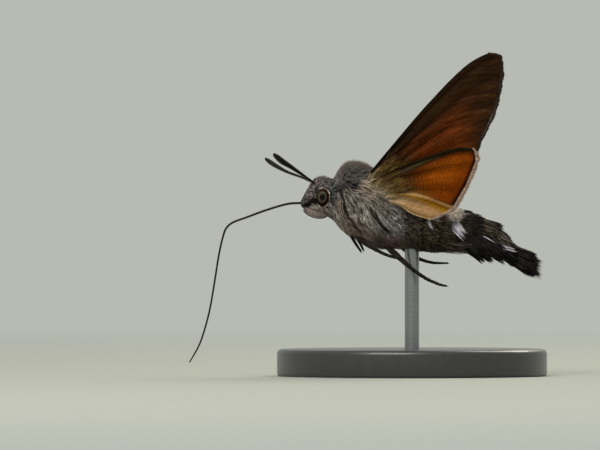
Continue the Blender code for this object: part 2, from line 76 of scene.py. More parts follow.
# %% [markdown]
# ## Colours
# A colour listed here is an sRGB value, but shaders add up light, which needs linear numbers. One function
# turns the first into the second. Paint is then laid on in coats: each has a colour, and a share from 0 to 1
# that says how much of it shows at every spot.

# %% Colours
def linear(hex_colour):
    """An sRGB colour such as #6b635c as linear red, green and blue."""
    parts = np.array([int(hex_colour[k : k + 2], 16) for k in (1, 3, 5)]) / 255
    return np.where(parts <= 0.04045, parts / 12.92, ((parts + 0.055) / 1.055) ** 2.4)


def rgba(hex_colour):
    return (*linear(hex_colour), 1.0)


def painted(paint, *coats):
    """A colour, or colours (n, 3), with coats of (colour, share) laid over it in turn."""
    paint = linear(paint) if isinstance(paint, str) else paint
    for colour, share in coats:
        paint = paint + (linear(colour) - paint) * np.asarray(share)[..., None]
    return paint


def fade(value, start, end):
    """0 before start, 1 past end, and a soft step between."""
    share = np.clip((value - start) / (end - start), 0.0, 1.0)
    return share * share * (3 - 2 * share)


def bell(value, middle, wide):
    """1 at the middle, and softly less to both sides."""
    return np.exp(-(((value - middle) / wide) ** 2))


def unit(vector):
    """The vectors, each with a length of 1."""
    vector = np.asarray(vector, float)
    return vector / (np.linalg.norm(vector, axis=-1, keepdims=True) + 1e-9)


def ripple(u, v, size, seed):
    """Smooth, seeded bumps about size wide, between about -1 and 1."""
    draw = np.random.default_rng(seed)
    total = np.zeros(np.broadcast(u, v).shape)
    for _ in range(7):
        turn, phase, fine = draw.uniform(0, TAU), draw.uniform(0, TAU), draw.uniform(0.6, 1.7)
        total = total + np.sin((u * math.cos(turn) + v * math.sin(turn)) * TAU / size * fine + phase)
    return total / 3.2


# %% [markdown]
# ## Nodes and materials
# Every material is a small graph of shader nodes. One function adds a node, gives it its settings, and either
# plugs a socket or writes a number into each input that we name. A second starts a material with the few
# constants that say what the real one is, and a third plugs in its colour and its fine relief.

# %% Node helpers
def add_node(tree, kind, inputs, stops=(), **settings):
    """Adds a node with its settings and a ramp's stops, links or sets its inputs, and gives its outputs."""
    node = tree.nodes.new("ShaderNode" + kind)
    for name, value in settings.items():
        setattr(node, name, value)
    for name, value in inputs.items():
        if isinstance(value, bpy.types.NodeSocket):
            tree.links.new(value, node.inputs[name])
        else:
            node.inputs[name].default_value = value
    for k, (at, colour) in enumerate(stops):
        element = node.color_ramp.elements[k] if k < 2 else node.color_ramp.elements.new(at)
        element.position, element.color = at, rgba(colour)
    return node.outputs


def new_material(name, **constants):
    """A Principled material. The constants are sockets of the shader, with _ for a space."""
    material = bpy.data.materials.new(name)
    material.use_nodes = True
    shader = material.node_tree.nodes["Principled BSDF"]
    for socket, value in constants.items():
        shader.inputs[socket.replace("_", " ")].default_value = value
    return material, material.node_tree, shader


def dress(tree, shader, colour, height, depth_mm, strength):
    """Plugs in a colour, and a height from 0 to 1 that tilts the light like so many mm of relief."""
    relief = add_node(tree, "Bump", {"Height": height, "Distance": depth_mm * MM, "Strength": strength})
    tree.links.new(colour, shader.inputs["Base Color"])
    tree.links.new(relief["Normal"], shader.inputs["Normal"])


# %% [markdown]
# ## The form of the body
# The body is one long form: a row of upright ovals from the snout to the tail, each with its place behind the
# thorax's middle, its rise, half height and half width. They are the CAD's own numbers. A point of the
# surface is found from how far back it is and its angle: 0 degrees on the left side, 90 on the back.

# %% Body form
THORAX = np.array((-5.8, 0.0, 19.4))
RING_SHAPE = 2.2
BODY_FORM = np.array((
    (-6.62, -0.26, 0.22, 0.40), (-6.22, -0.11, 0.67, 1.05), (-5.67, 0.20, 1.20, 1.65),
    (-5.00, 0.53, 1.76, 2.05), (-4.33, 0.64, 2.02, 2.20), (-3.60, 0.45, 2.15, 2.15),
    (-2.94, 0.16, 2.25, 2.05), (-2.45, 0.26, 2.95, 2.50), (-1.90, 0.33, 3.60, 2.95),
    (-1.10, 0.28, 4.06, 3.45), (0.00, 0.00, 4.34, 3.75), (1.10, -0.47, 4.36, 3.80),
    (2.20, -1.06, 4.10, 3.65), (3.33, -1.57, 3.68, 3.40), (4.44, -1.94, 3.28, 3.20),
    (5.56, -2.33, 3.00, 3.15), (8.00, -2.98, 2.69, 3.25), (11.10, -3.17, 2.40, 3.00),
    (13.40, -3.62, 1.85, 2.40), (14.60, -4.05, 1.55, 2.05), (15.80, -4.85, 1.30, 1.80),
    (16.90, -5.70, 1.20, 1.70), (17.80, -6.30, 1.10, 1.70), (18.60, -6.80, 0.80, 1.50),
))
SEGMENT_STARTS = np.array((4.6, 6.5, 8.4, 10.3, 12.1, 13.8, 15.3, 16.9))


def body_form(x):
    """Rise, half height and half width of the body at these distances behind the thorax's middle."""
    rows = BODY_FORM
    x = np.asarray(x, float)
    i = np.clip(np.searchsorted(rows[:, 0], x, side="right") - 1, 0, len(rows) - 2)
    a, b = rows[i], rows[i + 1]
    before, after = rows[np.maximum(i - 1, 0)], rows[np.minimum(i + 2, len(rows) - 1)]
    step = (b - a)[..., :1]
    f = np.clip((x[..., None] - a[..., :1]) / step, 0, 1)
    slope_a = (b - before)[..., 1:] / (b - before)[..., :1] * step
    slope_b = (after - a)[..., 1:] / (after - a)[..., :1] * step
    share = f**2 * (3 - 2 * f)
    bend = (f**3 - 2 * f**2 + f) * slope_a + (f**3 - f**2) * slope_b
    return a[..., 1:] * (1 - share) + b[..., 1:] * share + bend


def on_body(x, angle, grow=0.0):
    """Points in mm on the body's surface, standing out from it by grow."""
    rise, tall, wide = np.moveaxis(body_form(x), -1, 0)
    c, s = np.cos(angle), np.sin(angle)
    y = -np.sign(c) * np.abs(c) ** (2 / RING_SHAPE) * np.maximum(wide + grow, 0.05)
    z = np.sign(s) * np.abs(s) ** (2 / RING_SHAPE) * np.maximum(tall + grow, 0.05)
    return THORAX + np.stack([x + 0 * y, y, rise + z], -1)


def up_degrees(angle):
    """How high on the body an angle is: -90 under the belly, 0 on either side, 90 on the back."""
    return np.degrees(np.arcsin(np.clip(np.sin(angle), -1, 1)))


def in_segment(x):
    """0 at the front of an abdomen segment, rising to 1 at its rear rim."""
    starts = SEGMENT_STARTS
    i = np.clip(np.searchsorted(starts, x, side="right") - 1, 0, len(starts) - 2)
    share = (x - starts[i]) / (starts[i + 1] - starts[i])
    return np.where((x > starts[0]) & (x < starts[-1]), np.clip(share, 0, 1), 0.0)


print("body form from", BODY_FORM[0, 0], "to", BODY_FORM[-1, 0], "mm behind the middle of the thorax")

# %% [markdown]
# ## The markings
# Skin and coat carry the same markings, so the same tables serve both. A row of the first table names a place
# of the body, says where it is and how far it reaches, and gives what grows there: length and width of its
# scales in millimetres, the way that they lie in degrees below straight back, how far their tips stand out,
# and the colours of its darkest and palest scales. Between places the values blend by nearness.
# A moth also has marks with a clear edge. They are ovals on the unrolled body and come on top.

# %% Places of the coat
PLACES = (
    # name, behind, up, reach mm, reach degrees, length, width, flow, stand, dark, pale
    ("snout", -6.35, 0, 0.45, 120, 0.22, 0.090, 0, 0.03, "#1a1416", "#857a7c"),
    ("face", -5.35, 44, 0.85, 34, 0.24, 0.115, -14, 0.10, "#100c0d", "#b5a89f"),
    ("brow", -5.62, 90, 0.62, 26, 0.38, 0.090, -6, 0.42, "#15100f", "#a3968d"),
    ("crown", -4.10, 82, 0.80, 36, 0.50, 0.065, 0, 0.18, "#1f1a1d", "#80746f"),
    ("temple", -4.30, 38, 0.60, 18, 0.30, 0.085, 12, 0.04, "#191417", "#958b8e"),
    ("chin", -4.80, -70, 1.00, 30, 0.40, 0.090, 8, 0.03, "#8c7d77", "#cfc1ba"),
    ("cheek", -3.15, 20, 0.42, 32, 0.40, 0.070, 60, 0.05, "#2b2f30", "#a3a9a9"),
    ("throat", -3.00, -48, 0.72, 36, 0.90, 0.085, 24, 0.04, "#a8978f", "#f6e9e0"),
    ("nape", -2.55, 66, 0.50, 34, 0.55, 0.070, 4, 0.09, "#272124", "#7d7375"),
    ("collar", -2.05, 4, 0.62, 36, 1.30, 0.064, 62, 0.07, "#0e0a09", "#93877d"),
    ("shoulder", -0.80, 38, 1.20, 18, 0.75, 0.062, 26, 0.07, "#101112", "#707170"),
    ("back", 0.00, 84, 2.40, 34, 0.50, 0.062, 2, 0.14, "#1b1615", "#716660"),
    ("rear back", 3.60, 74, 1.30, 40, 0.95, 0.080, 0, 0.09, "#302926", "#877b71"),
    ("wing root", 0.90, 18, 0.95, 13, 1.10, 0.066, 22, 0.12, "#6e5c49", "#e4d3bf"),
    ("upper flank", -0.30, -6, 1.30, 18, 1.20, 0.068, 60, 0.10, "#221c18", "#e2d8d1"),
    ("rear flank", 2.90, -4, 1.45, 24, 1.30, 0.070, 44, 0.12, "#0c0a09", "#c5c2c2"),
    ("breast", -1.10, -48, 1.50, 28, 1.40, 0.070, 18, 0.06, "#281e1a", "#b09a90"),
    ("rear breast", 2.60, -58, 1.70, 30, 1.30, 0.072, 14, 0.06, "#140e0d", "#826860"),
    ("waist", 4.90, -12, 0.70, 60, 0.80, 0.080, 14, 0.07, "#14110f", "#6b5f54"),
    ("upper abdomen", 6.80, 70, 2.00, 30, 0.60, 0.095, 0, 0.05, "#2c251f", "#7b6c5d"),
    ("side of abdomen", 8.60, -10, 3.60, 54, 0.50, 0.095, 4, 0.03, "#1a1511", "#6a5c46"),
    ("lower abdomen", 9.20, -56, 3.20, 24, 0.50, 0.095, 4, 0.03, "#130d0b", "#55433a"),
    ("below the wing", 7.60, 22, 1.60, 16, 0.70, 0.085, 10, 0.08, "#2a221d", "#938273"),
    ("end of abdomen", 14.50, 0, 2.60, 160, 0.70, 0.100, 4, 0.05, "#060505", "#1e1916"),
    ("tail root", 16.90, 0, 1.00, 160, 0.80, 0.105, 4, 0.04, "#060505", "#171311"),
)

# %% Marks of the coat
MARKS = (
    # name, behind, up, half length mm, half height degrees, dark, pale
    ("eye stripe on the snout", -5.95, -26, 0.42, 15, "#0b0807", "#1c1411"),
    ("eye stripe in front", -5.25, -14, 0.62, 13, "#0b0807", "#2a1f1a"),
    ("eye stripe below", -4.40, -20, 0.70, 8, "#0b0807", "#211713"),
    ("pale line in front", -5.15, -42, 0.60, 9, "#bcb0a8", "#fbf3ea"),
    ("pale line below", -4.15, -35, 0.90, 7, "#bcb0a8", "#fbf3ea"),
    ("pale line behind", -3.48, -22, 0.20, 13, "#a39891", "#efe6de"),
    ("cream patch above", 10.55, 58, 0.80, 26, "#f3e6da", "#fffaf4"),
    ("cream patch below", 10.08, 38, 0.82, 19, "#e2d2c2", "#fff6ec"),
    ("brown hair of the back", 14.05, 36, 0.95, 15, "#1f1914", "#85745f"),
    ("fan above the tail", 15.70, 22, 0.90, 26, "#261e1a", "#8f7e73"),
    ("buff line of the belly", 9.30, -86, 1.50, 11, "#52423a", "#a08a78"),
    ("russet side", 11.60, -50, 2.60, 10, "#241614", "#80584e"),
)

# %% What grows at a spot
PLACE_AT, PLACE_REACH, PLACE_SIZES = (
    np.array([row[first:end] for row in PLACES]) for first, end in ((1, 3), (3, 5), (5, 9))
)
PLACE_DARK, PLACE_PALE = (np.array([linear(row[k]) for row in PLACES]) for k in (9, 10))


def coat_at(x, angle):
    """What grows at these spots of the body: sizes, way of lying and colours, from both tables."""
    x, up = np.asarray(x, float), up_degrees(angle)
    near = (np.stack([x, up], -1)[..., None, :] - PLACE_AT) / PLACE_REACH
    ragged = 0.22 * ripple(x, up / 22, 0.35, 7)
    weight = np.exp(-(near**2).sum(-1)) + 1e-7
    weight = weight / weight.sum(-1, keepdims=True)
    length, width, flow, stand = np.moveaxis(weight @ PLACE_SIZES, -1, 0)
    flow = np.radians(flow)
    dark, pale = weight @ PLACE_DARK, weight @ PLACE_PALE
    for _, at_x, at_up, half_x, half_up, mark_dark, mark_pale in MARKS:
        off = np.hypot((x - at_x) / half_x, (up - at_up) / half_up)
        inside = 1 - fade(off + ragged, 0.80, 1.12)
        dark, pale = painted(dark, (mark_dark, inside)), painted(pale, (mark_pale, inside))
    return SimpleNamespace(length=length, width=width, flow=flow, stand=stand, dark=dark, pale=pale)


print(len(PLACES), "places and", len(MARKS), "marks of the coat")

# %% [markdown]
# ## Furrows and strands of the flank
# Between collar, shoulder and breast the fur parts in furrows, darkened with painted shade, and pale
# strands lie beside them. Each is a short row of points of the side view: how far behind the thorax's
# middle, and how high above it.

# %% Furrows and strands
FURROWS = (
    # strength, below 0 for a furrow's painted shade and above 0 for a pale strand, half width mm, then the
    # points
    (-0.8, 0.13, ((-2.12, 1.35), (-1.97, 0.52), (-1.80, -0.41), (-1.50, -1.26), (-1.25, -1.80))),
    (-0.5, 0.11, ((-1.25, -1.80), (-0.69, -2.54), (-0.10, -3.39), (0.41, -4.10))),
    (-0.3, 0.06, ((-2.62, -0.50), (-2.25, -1.69), (-1.63, -2.71), (-0.95, -3.80))),
    (-0.5, 0.09, ((-3.34, 1.80), (-3.30, 1.20), (-3.24, 0.60))),
    (-0.5, 0.08, ((-2.70, 1.90), (-2.64, 1.20), (-2.58, 0.40))),
    (-0.5, 0.14, ((-1.85, 2.60), (-1.29, 2.23), (-0.69, 1.89), (-0.10, 1.62))),
    (-0.4, 0.10, ((-2.30, 1.75), (-1.60, 1.55), (-0.90, 1.35))),
    (-0.8, 0.18, ((1.75, -1.70), (2.30, -2.55), (3.22, -3.45))),
    (-0.3, 0.10, ((-0.55, 0.20), (-0.40, -0.60), (0.05, -1.60))),
    (-0.4, 0.11, ((0.95, -0.55), (1.30, -1.40), (1.75, -2.10))),
    (-0.4, 0.10, ((2.10, 0.10), (2.80, -0.75), (3.60, -1.60))),
    (0.7, 0.07, ((-2.42, 1.00), (-2.22, 0.01), (-1.97, -0.84), (-1.80, -1.69), (-1.20, -2.63), (-0.5, -3.4))),
    (0.3, 0.08, ((-1.70, 0.75), (-1.50, -0.41), (-1.00, -1.26), (-0.52, -2.12))),
    (0.3, 0.12, ((0.20, 0.75), (0.70, 0.10), (0.95, -0.45))),
    (0.5, 0.14, ((1.50, 0.35), (2.35, -0.45), (3.00, -1.10), (4.10, -1.95))),
    (0.4, 0.12, ((0.35, -0.30), (0.62, -1.10), (1.05, -2.00))),
    (0.4, 0.12, ((1.50, -0.60), (2.20, -1.45), (3.00, -2.10))),
)


def furrow_shade_and_strand_tone(x, angle):
    """How much lighter the fur is near the pale strands (above 0), and how much darker near the furrows
    (below 0), as painted shade.
    """
    spot = (on_body(x, angle) - THORAX)[..., (0, 2)]
    tone = np.zeros(spot.shape[:-1])
    for strength, half, points in FURROWS:
        points = np.array(points)
        nearest = np.full(tone.shape, 9.0)
        for a, b in zip(points[:-1], points[1:]):
            share = np.clip(((spot - a) @ (b - a)) / ((b - a) @ (b - a)), 0, 1)
            nearest = np.minimum(nearest, np.linalg.norm(spot - a - share[..., None] * (b - a), axis=-1))
        tone = tone + strength * bell(nearest, 0, half)
    return tone


# %% [markdown]
# ## Coat and chitin
# Insect fur is made of hair-like scales: dry, matt chitin with fine ridges along it, which scatter light
# softly and give a dusty sheen at a grazing angle. Feelers, proboscis and legs are bare chitin, tanned brown
# black and smooth, with a satin shine. Both take their markings from a colour attribute that the builder of
# each piece paints. The nodes add what paint can't: flecks some tenths of a millimetre wide, where scales
# have rubbed thin, or brown clouds, and a fine grain in relief. Real ridges are a thousandth of a
# millimetre apart, so the grain is drawn far coarser, as wide as it needs to show.

# %% Coat and chitin material
def marked_material(name, fleck_mm, detail, crisp, tints, grain_mm, depth_mm, strength, **constants):
    """The colours of the marking attribute, lightened and darkened by flecks, with a grain in relief."""
    material, tree, shader = new_material(name, **constants)
    marking = add_node(tree, "Attribute", {}, attribute_name="marking")["Color"]
    place = add_node(tree, "TexCoord", {})["Object"]
    flecks = {"Vector": place, "Scale": 1 / (fleck_mm * MM), "Detail": detail, "Roughness": crisp}
    fleck = add_node(tree, "TexNoise", flecks)["Fac"]
    span = {"Value": fleck, "From Min": 0.3, "From Max": 0.7, "To Min": tints[0], "To Max": tints[1]}
    value = add_node(tree, "MapRange", span)["Result"]
    tinted = add_node(tree, "HueSaturation", {"Color": marking, "Value": value})["Color"]
    grain = add_node(tree, "TexNoise", {"Vector": place, "Scale": 1 / (grain_mm * MM), "Detail": 2.0})["Fac"]
    dress(tree, shader, tinted, grain, depth_mm, strength)
    return material, tree, shader, grain


def coat_material(name, fleck_mm, roughness):
    """Dry, matt scales with flecks of this size."""
    look = dict(Roughness=roughness, Sheen_Weight=0.04, Sheen_Roughness=0.5, Specular_IOR_Level=0.16)
    flecks = dict(fleck_mm=fleck_mm, detail=3.0, crisp=0.6, tints=(0.74, 1.24))
    return marked_material(name, **flecks, grain_mm=0.05, depth_mm=0.012, strength=0.6, **look)[0]


def chitin_material(name, roughness):
    """Bare, satin chitin with brown clouds. The grain varies its shine too."""
    look = dict(Roughness=roughness, IOR=1.5, Specular_IOR_Level=0.22)
    clouds = dict(fleck_mm=0.6, detail=4.0, crisp=0.5, tints=(0.75, 1.3))
    material, tree, shader, grain = marked_material(
        name, **clouds, grain_mm=0.06, depth_mm=0.008, strength=0.5, **look
    )
    span = {"Value": grain, "To Min": roughness - 0.08, "To Max": roughness + 0.12}
    tree.links.new(add_node(tree, "MapRange", span)["Result"], shader.inputs["Roughness"])
    return material


# a finish is a material and the slot of the record that it stands for
GREY_COAT = coat_material("grey_hair_scales", 0.35, 0.78), "grey_coat"
DARK_COAT = coat_material("black_hair_scales", 0.5, 0.62), "dark_coat"
PALP_COAT = coat_material("pinkish_palp_scales", 0.25, 0.7), "palp_scales"
LEG_COAT = coat_material("leg_scales", 0.2, 0.6), "chitin"
CHITIN = chitin_material("tanned_chitin", 0.45), "chitin"
WING_HAIR = coat_material("wing_fringe_scales", 0.3, 0.7)

# %% [markdown]
# ## Finishing a piece
# Each piece rides on the model's one body, takes its material, and hides the CAD nodes that it stands for.
# One function does the three at once, and prints what was made.

# %% Finish a piece
TRIANGLES = {}


def shown(name, data):
    """Puts a mesh, a lamp or a camera into the scene."""
    obj = bpy.data.objects.new(name, data)
    bpy.context.scene.collection.objects.link(obj)
    return obj


def shown_form(name, bm):
    """Makes a smooth mesh of a bmesh whose doubles are merged, with its faces pointing outwards."""
    bmesh.ops.recalc_face_normals(bm, faces=bm.faces)
    mesh = bpy.data.meshes.new(name)
    bm.to_mesh(mesh)
    bm.free()
    mesh.shade_smooth()
    return shown(name, mesh)


def finish_piece(obj, finish, *nodes):
    """Gives the piece its material and its body, and hides the CAD nodes that it replaces."""
    material, slot = finish
    obj.data.materials.append(material)
    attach(obj, "root")
    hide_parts(*nodes)
    TRIANGLES[obj.name] = sum(len(p.vertices) - 2 for p in obj.data.polygons)
    print(f"{obj.name}: {TRIANGLES[obj.name]} triangles")


# %% [markdown]
# ## A grid bent over a form
# Skin, feelers, legs, proboscis and wings are all one grid, bent over a form by a function and closed where
# its edges meet. The grid comes from a bmesh operator. Its points are moved, its seam and poles are merged,
# and then its normals are worked out again, because a grid that is rolled up may be inside out.
# Colours are painted before the merge, while each point still knows its place on the grid.

# %% Bent grid
def bent_grid(name, along, around, place, paint, chart=None):
    """A grid of along by around cells. place(u, v) gives mm, paint(u, v) linear colours, chart(u, v) a UV."""
    bm = bmesh.new()
    bmesh.ops.create_grid(bm, x_segments=along, y_segments=around, size=0.5)
    # a mesh holds short floats, so the places are rounded back to whole cells
    spots = np.round((np.array([vert.co[:2] for vert in bm.verts]) + 0.5) * (along, around)) / (along, around)
    u, v = spots.T
    layer = bm.verts.layers.float_color.new("marking")
    for vert, point, colour in zip(bm.verts, place(u, v) * MM, paint(u, v)):
        vert.co = point
        vert[layer] = (*colour, 1.0)
    if chart:
        charted = chart(u, v)
        corner = bm.loops.layers.uv.new("scale_rows")
        bm.verts.index_update()
        for face in bm.faces:
            for loop in face.loops:
                loop[corner].uv = charted[loop.vert.index]
    bmesh.ops.remove_doubles(bm, verts=bm.verts, dist=2e-7)
    return shown_form(name, bm)


def rounded(share):
    """A quarter circle: it closes the end of a form, from 0 where the share is 0 to 1 from 1 on."""
    return np.sqrt(np.clip(1 - (1 - np.clip(share, 0, 1)) ** 2, 0, 1))


# %% [markdown]
# ## The skin
# Under the fur is the hard skin of head, thorax and abdomen. One closed skin replaces the CAD's four flesh
# nodes, so that no seam shows where they part, and it lies inside them by the depth of the coat: deep
# on the furry thorax, shallow on the face. The rings of the abdomen step out a little towards each rear rim.

# %% Skin
SKIN_START, SKIN_LENGTH = -6.60, 24.9
COAT_PLACES = (-6.62, -6.0, -4.5, -3.1, -2.2, 0.0, 4.0, 5.2, 8.0, 15.0, 18.6)
COAT_DEPTHS = (0.06, 0.12, 0.22, 0.32, 0.50, 0.55, 0.50, 0.34, 0.28, 0.24, 0.20)


def coat_depth(x):
    """How far the skin lies inside the CAD's surface, in mm."""
    return np.interp(x, COAT_PLACES, COAT_DEPTHS)


def skin_place(u, v):
    x = SKIN_START + u * SKIN_LENGTH
    points = on_body(x, TAU * v, 0.09 * in_segment(x) - coat_depth(x))
    middle = THORAX + np.stack([x, 0 * x, body_form(x)[..., 0]], -1)
    return middle + (points - middle) * (rounded(u / 0.012) * rounded((1 - u) / 0.03))[:, None]


def skin_paint(u, v):
    x = SKIN_START + u * SKIN_LENGTH
    coat = coat_at(x, TAU * v)
    tone = 0.25 + 0.15 * ripple(x, v * 20, 0.8, 3)
    # painted shade: the skin takes the coat's darker tones at 0.6, for the gaps seen between the tufts
    return (coat.dark + (coat.pale - coat.dark) * tone[:, None]) * 0.6


skin = bent_grid("skin", 240, 80, skin_place, skin_paint)
finish_piece(skin, GREY_COAT, "head", "thorax", "abdomen", "tail_fan")

# %% [markdown]
# ## Tufts
# A coat is thousands of small closed forms. Each tuft is a flat three-sided bar: a few rings of three corners
# along a bent centre line, closed by a small face at its root and a point at its tip. Blender could grow
# such tufts as particle hair, but hair is lost on export, so they are joined meshes made with arrays.
# The UV map OFBake gives each tuft a tiny patch of its own at its root's place on the unrolled skin, so a
# baked picture of the coat gives every tuft its own colour.

# %% Tuft mesh
PATCH = 0.003
# a tuft's three corners, as half widths to its side and outwards
CORNERS = np.array(((-1.0, -0.35), (1.0, -0.35), (0.0, 0.8)))


def tufts(lines, over, width, tones, roots, seed, roll=0.6, flat=0.35, shape=(0.7, 1.0, 0.85, 0.5)):
    """Closed tufts along centre lines (n, levels, 3) in mm: their points, faces, colours and patches.

    Each is rolled a little about its own line, so that no two catch the light alike.
    """
    count, levels, _ = lines.shape
    along = unit(np.gradient(lines, axis=1))
    lean = np.random.default_rng(seed).uniform(-roll, roll, count)[:, None, None]
    side = unit(np.cross(along, over + np.cross(along, over) * lean))
    over = np.cross(side, along)
    broad = np.interp(np.linspace(0, 1, levels), np.linspace(0, 1, len(shape)), shape)
    half = (np.broadcast_to(width, count)[:, None] * broad / 2)[:, :-1, None, None]
    rings = side[:, :-1, None] * CORNERS[:, :1] * half + over[:, :-1, None] * CORNERS[:, 1:] * half * flat * 2
    rings = (lines[:, :-1, None] + rings).reshape(count, -1, 3)
    points = np.concatenate([rings, lines[:, -1:]], 1)
    per = 3 * (levels - 1) + 1  # points in one tuft
    turns = ((0, 1), (1, 2), (2, 0))
    faces = [(0, 1, 2)]
    for k in range(0, per - 4, 3):
        for i, j in turns:
            faces += [(k + i, k + 3 + i, k + 3 + j), (k + i, k + 3 + j, k + j)]
    faces += [(per - 4 + i, per - 1, per - 4 + j) for i, j in turns]
    faces = np.array(faces)[None] + per * np.arange(count)[:, None, None]
    level_of = np.append(np.repeat(np.arange(levels - 1), 3), levels - 1)
    across_of = np.append(np.tile((0.0, 1.0, 0.5), levels - 1), 0.5)
    patches = roots[:, None] + np.stack([level_of / (levels - 1), across_of], -1) * PATCH
    tones = tones[:, level_of]
    return points.reshape(-1, 3), faces.reshape(-1, 3), tones.reshape(-1, 3), patches.reshape(-1, 2)


# %% Shades, and joining tufts
def shaded(dark, pale, tone, levels, root=0.4, tip=1.12, contrast=1.6):
    """Colours (n, levels, 3) between dark and pale by each tuft's tone, deeper towards the root."""
    tone = np.clip((tone - 0.5) * contrast + 0.5, 0, 1)
    tone = tone[:, None] if tone.ndim == 1 else tone
    dark, pale = np.atleast_2d(painted(dark))[:, None], np.atleast_2d(painted(pale))[:, None]
    depth = np.interp(np.linspace(0, 1, levels), (0, 0.5, 1), (root, 0.95, tip))
    return (dark + (pale - dark) * tone[..., None]) * depth[None, :, None]


def join_tufts(name, batches, finish, *nodes):
    """One finished piece from several batches of tufts."""
    points, faces, colours, patches = zip(*batches)
    starts = np.cumsum([0] + [len(some) for some in points[:-1]])
    faces = np.concatenate([some + start for some, start in zip(faces, starts)]).astype(np.int32)
    points, colours, patches = map(np.concatenate, (points, colours, patches))
    mesh = bpy.data.meshes.new(name)
    mesh.vertices.add(len(points))
    mesh.vertices.foreach_set("co", (points * MM).astype(np.float32).ravel())
    mesh.loops.add(faces.size)
    mesh.loops.foreach_set("vertex_index", faces.ravel())
    mesh.polygons.add(len(faces))
    mesh.polygons.foreach_set("loop_start", np.arange(0, faces.size, 3, dtype=np.int32))
    mesh.update(calc_edges=True)
    solid = np.concatenate([colours, np.ones((len(colours), 1))], 1)
    marking = mesh.color_attributes.new("marking", "FLOAT_COLOR", "POINT")
    marking.data.foreach_set("color", solid.astype(np.float32).ravel())
    chart = mesh.uv_layers.new(name="OFBake")
    chart.data.foreach_set("uv", patches[faces.ravel()].astype(np.float32).ravel())
    mesh.shade_smooth()
    finish_piece(shown(name, mesh), finish, *nodes)


# %% [markdown]
# ## Laying tufts on a surface
# Fur follows the body like combed grass. From its root each tuft takes a few short steps along the surface in
# the direction of the flow there, and rises a little with each step. Because every step asks the surface
# anew where it is, even a long tuft hugs the curve of the flank. Tufts near each other are pulled to a
# shared centre, which gives the damp-looking locks that real fur has, and a lock shares one tone.

# %% Lay tufts
def draw_cells(first, second, seed):
    """A fixed number from 0 to 1 for each pair of whole numbers, from the far digits of a large sine."""
    mixed = np.sin(first * 127.1 + second * 311.7 + seed * 74.7) * 43758.5453
    return mixed - np.floor(mixed)


def spread_spots(count, seed):
    """Evenly spread points of the unit square: each is a step on from the last, and none fall together."""
    plastic_step = np.array((0.7548776662, 0.5698402910))
    start = np.random.default_rng(seed).uniform(0, 1, 2)
    return (start + plastic_step * (np.arange(count)[:, None] + 1)) % 1


def slopes(surface, x, angle, height, step=0.02):
    """Steps of the surface for one unit of x and of angle, and its outward direction."""
    ahead = surface(x + step, angle, height) - surface(x - step, angle, height)
    around = surface(x, angle + step, height) - surface(x, angle - step, height)
    out = unit(surface(x, angle, height + step) - surface(x, angle, height - step))
    return np.linalg.norm(ahead, axis=-1) / (2 * step), np.linalg.norm(around, axis=-1) / (2 * step), out


def lock_cells(x, angle, size, seed, pull):
    """The cell of each root in an uneven net: its pull to the middle, and a tone and lean that it shares."""
    round_mm = 3.3  # mm round the body for one unit of the angle
    cell_x, cell_a = np.floor(x / size), np.floor(angle * round_mm / size)
    first, second, tone, lean = (draw_cells(cell_x, cell_a, seed + k) for k in (1, 2, 3, 4))
    mid_x = (cell_x + 0.2 + 0.6 * first) * size
    mid_a = (cell_a + 0.2 + 0.6 * second) * size / round_mm
    return ((mid_x - x) * pull, (mid_a - angle) * pull), tone, lean - 0.5


def lay(surface, x, angle, length, flow, low, high, levels, shift=(0.0, 0.0), mirror=True):
    """Centre lines of tufts that lie on the surface, their outward directions, and their paths.

    A tuft starts at the height low, and its tip rises to high. The flow is an angle, or a function that gives
    one at each spot. It is mirrored on the right side.
    """
    side = np.where(np.cos(angle) >= 0, 1.0, -1.0) if mirror else 1.0
    step = length / (levels - 1)
    found = []
    for share in np.arange(levels) / (levels - 1):
        height = low + (high - low) * share**0.7
        ahead, around, out = slopes(surface, x, angle, height)
        found.append((surface(x, angle, height), out, np.stack([x, angle], -1)))
        turn = flow(x, angle) if callable(flow) else flow
        x = x + np.clip(np.cos(turn) * step / np.maximum(ahead, 0.2), -1, 1) + shift[0] / (levels - 1)
        swing = np.clip(np.sin(turn) * step / np.maximum(around, 0.2), -0.5, 0.5) * side
        angle = angle - swing + shift[1] / (levels - 1)
    return [np.stack(part, 1) for part in zip(*found)]


# %% [markdown]
# ## The body's fur
# The thorax carries long, silvery locks below the wings and short, dense, mouse-brown fur on the back. The
# head is furred more shortly, and the abdomen is tiled with flat dark scales. Roots are spread evenly
# and then thinned where the surface is small or the place asks for less, so that no place is bald.

# %% Fur by regions
EYE_AT, EYE_RADII = np.array((-4.12, -1.72, 0.37)), np.array((0.74, 0.80, 0.98))
# stretches of the body, in mm behind the middle of the thorax
HEAD, REAR, REAR_SCALES = (-6.55, -2.75), (4.2, 18.6), (4.2, 18.0)


def even(x, up):
    return 1.0


def head_density(x, up):
    """No fur grows on the eyes."""
    eye = ((x - EYE_AT[0]) / 0.84) ** 2 + ((up - 7) / 27) ** 2
    return np.where(eye < 1, 0.0, 1.0)


def body_roots(count, stretch, ups, seed, density=even):
    """Roots (x, angle) on both sides of the body, evenly by area and then by density."""
    spots = spread_spots(count, seed)
    x, angle = stretch[0] + spots[:, 0] * (stretch[1] - stretch[0]), spots[:, 1] * TAU - math.pi / 2
    up = up_degrees(angle)
    ahead, around, _ = slopes(on_body, x, angle, 0.0)
    room = ahead * around * density(x, up)
    chance = np.random.default_rng(seed + 50).uniform(0, 1, count)
    kept = (chance < room / room.max()) & (up >= ups[0]) & (up < ups[1])
    return x[kept], angle[kept]


def unrolled(x, angle, stretch):
    """The place of each root on the unrolled skin, in the unit square."""
    u = np.clip((x - stretch[0]) / (stretch[1] - stretch[0]), 0, 1)
    return np.stack([u, ((angle + math.pi / 2) / TAU) % 1.0], -1) * (1 - PATCH)


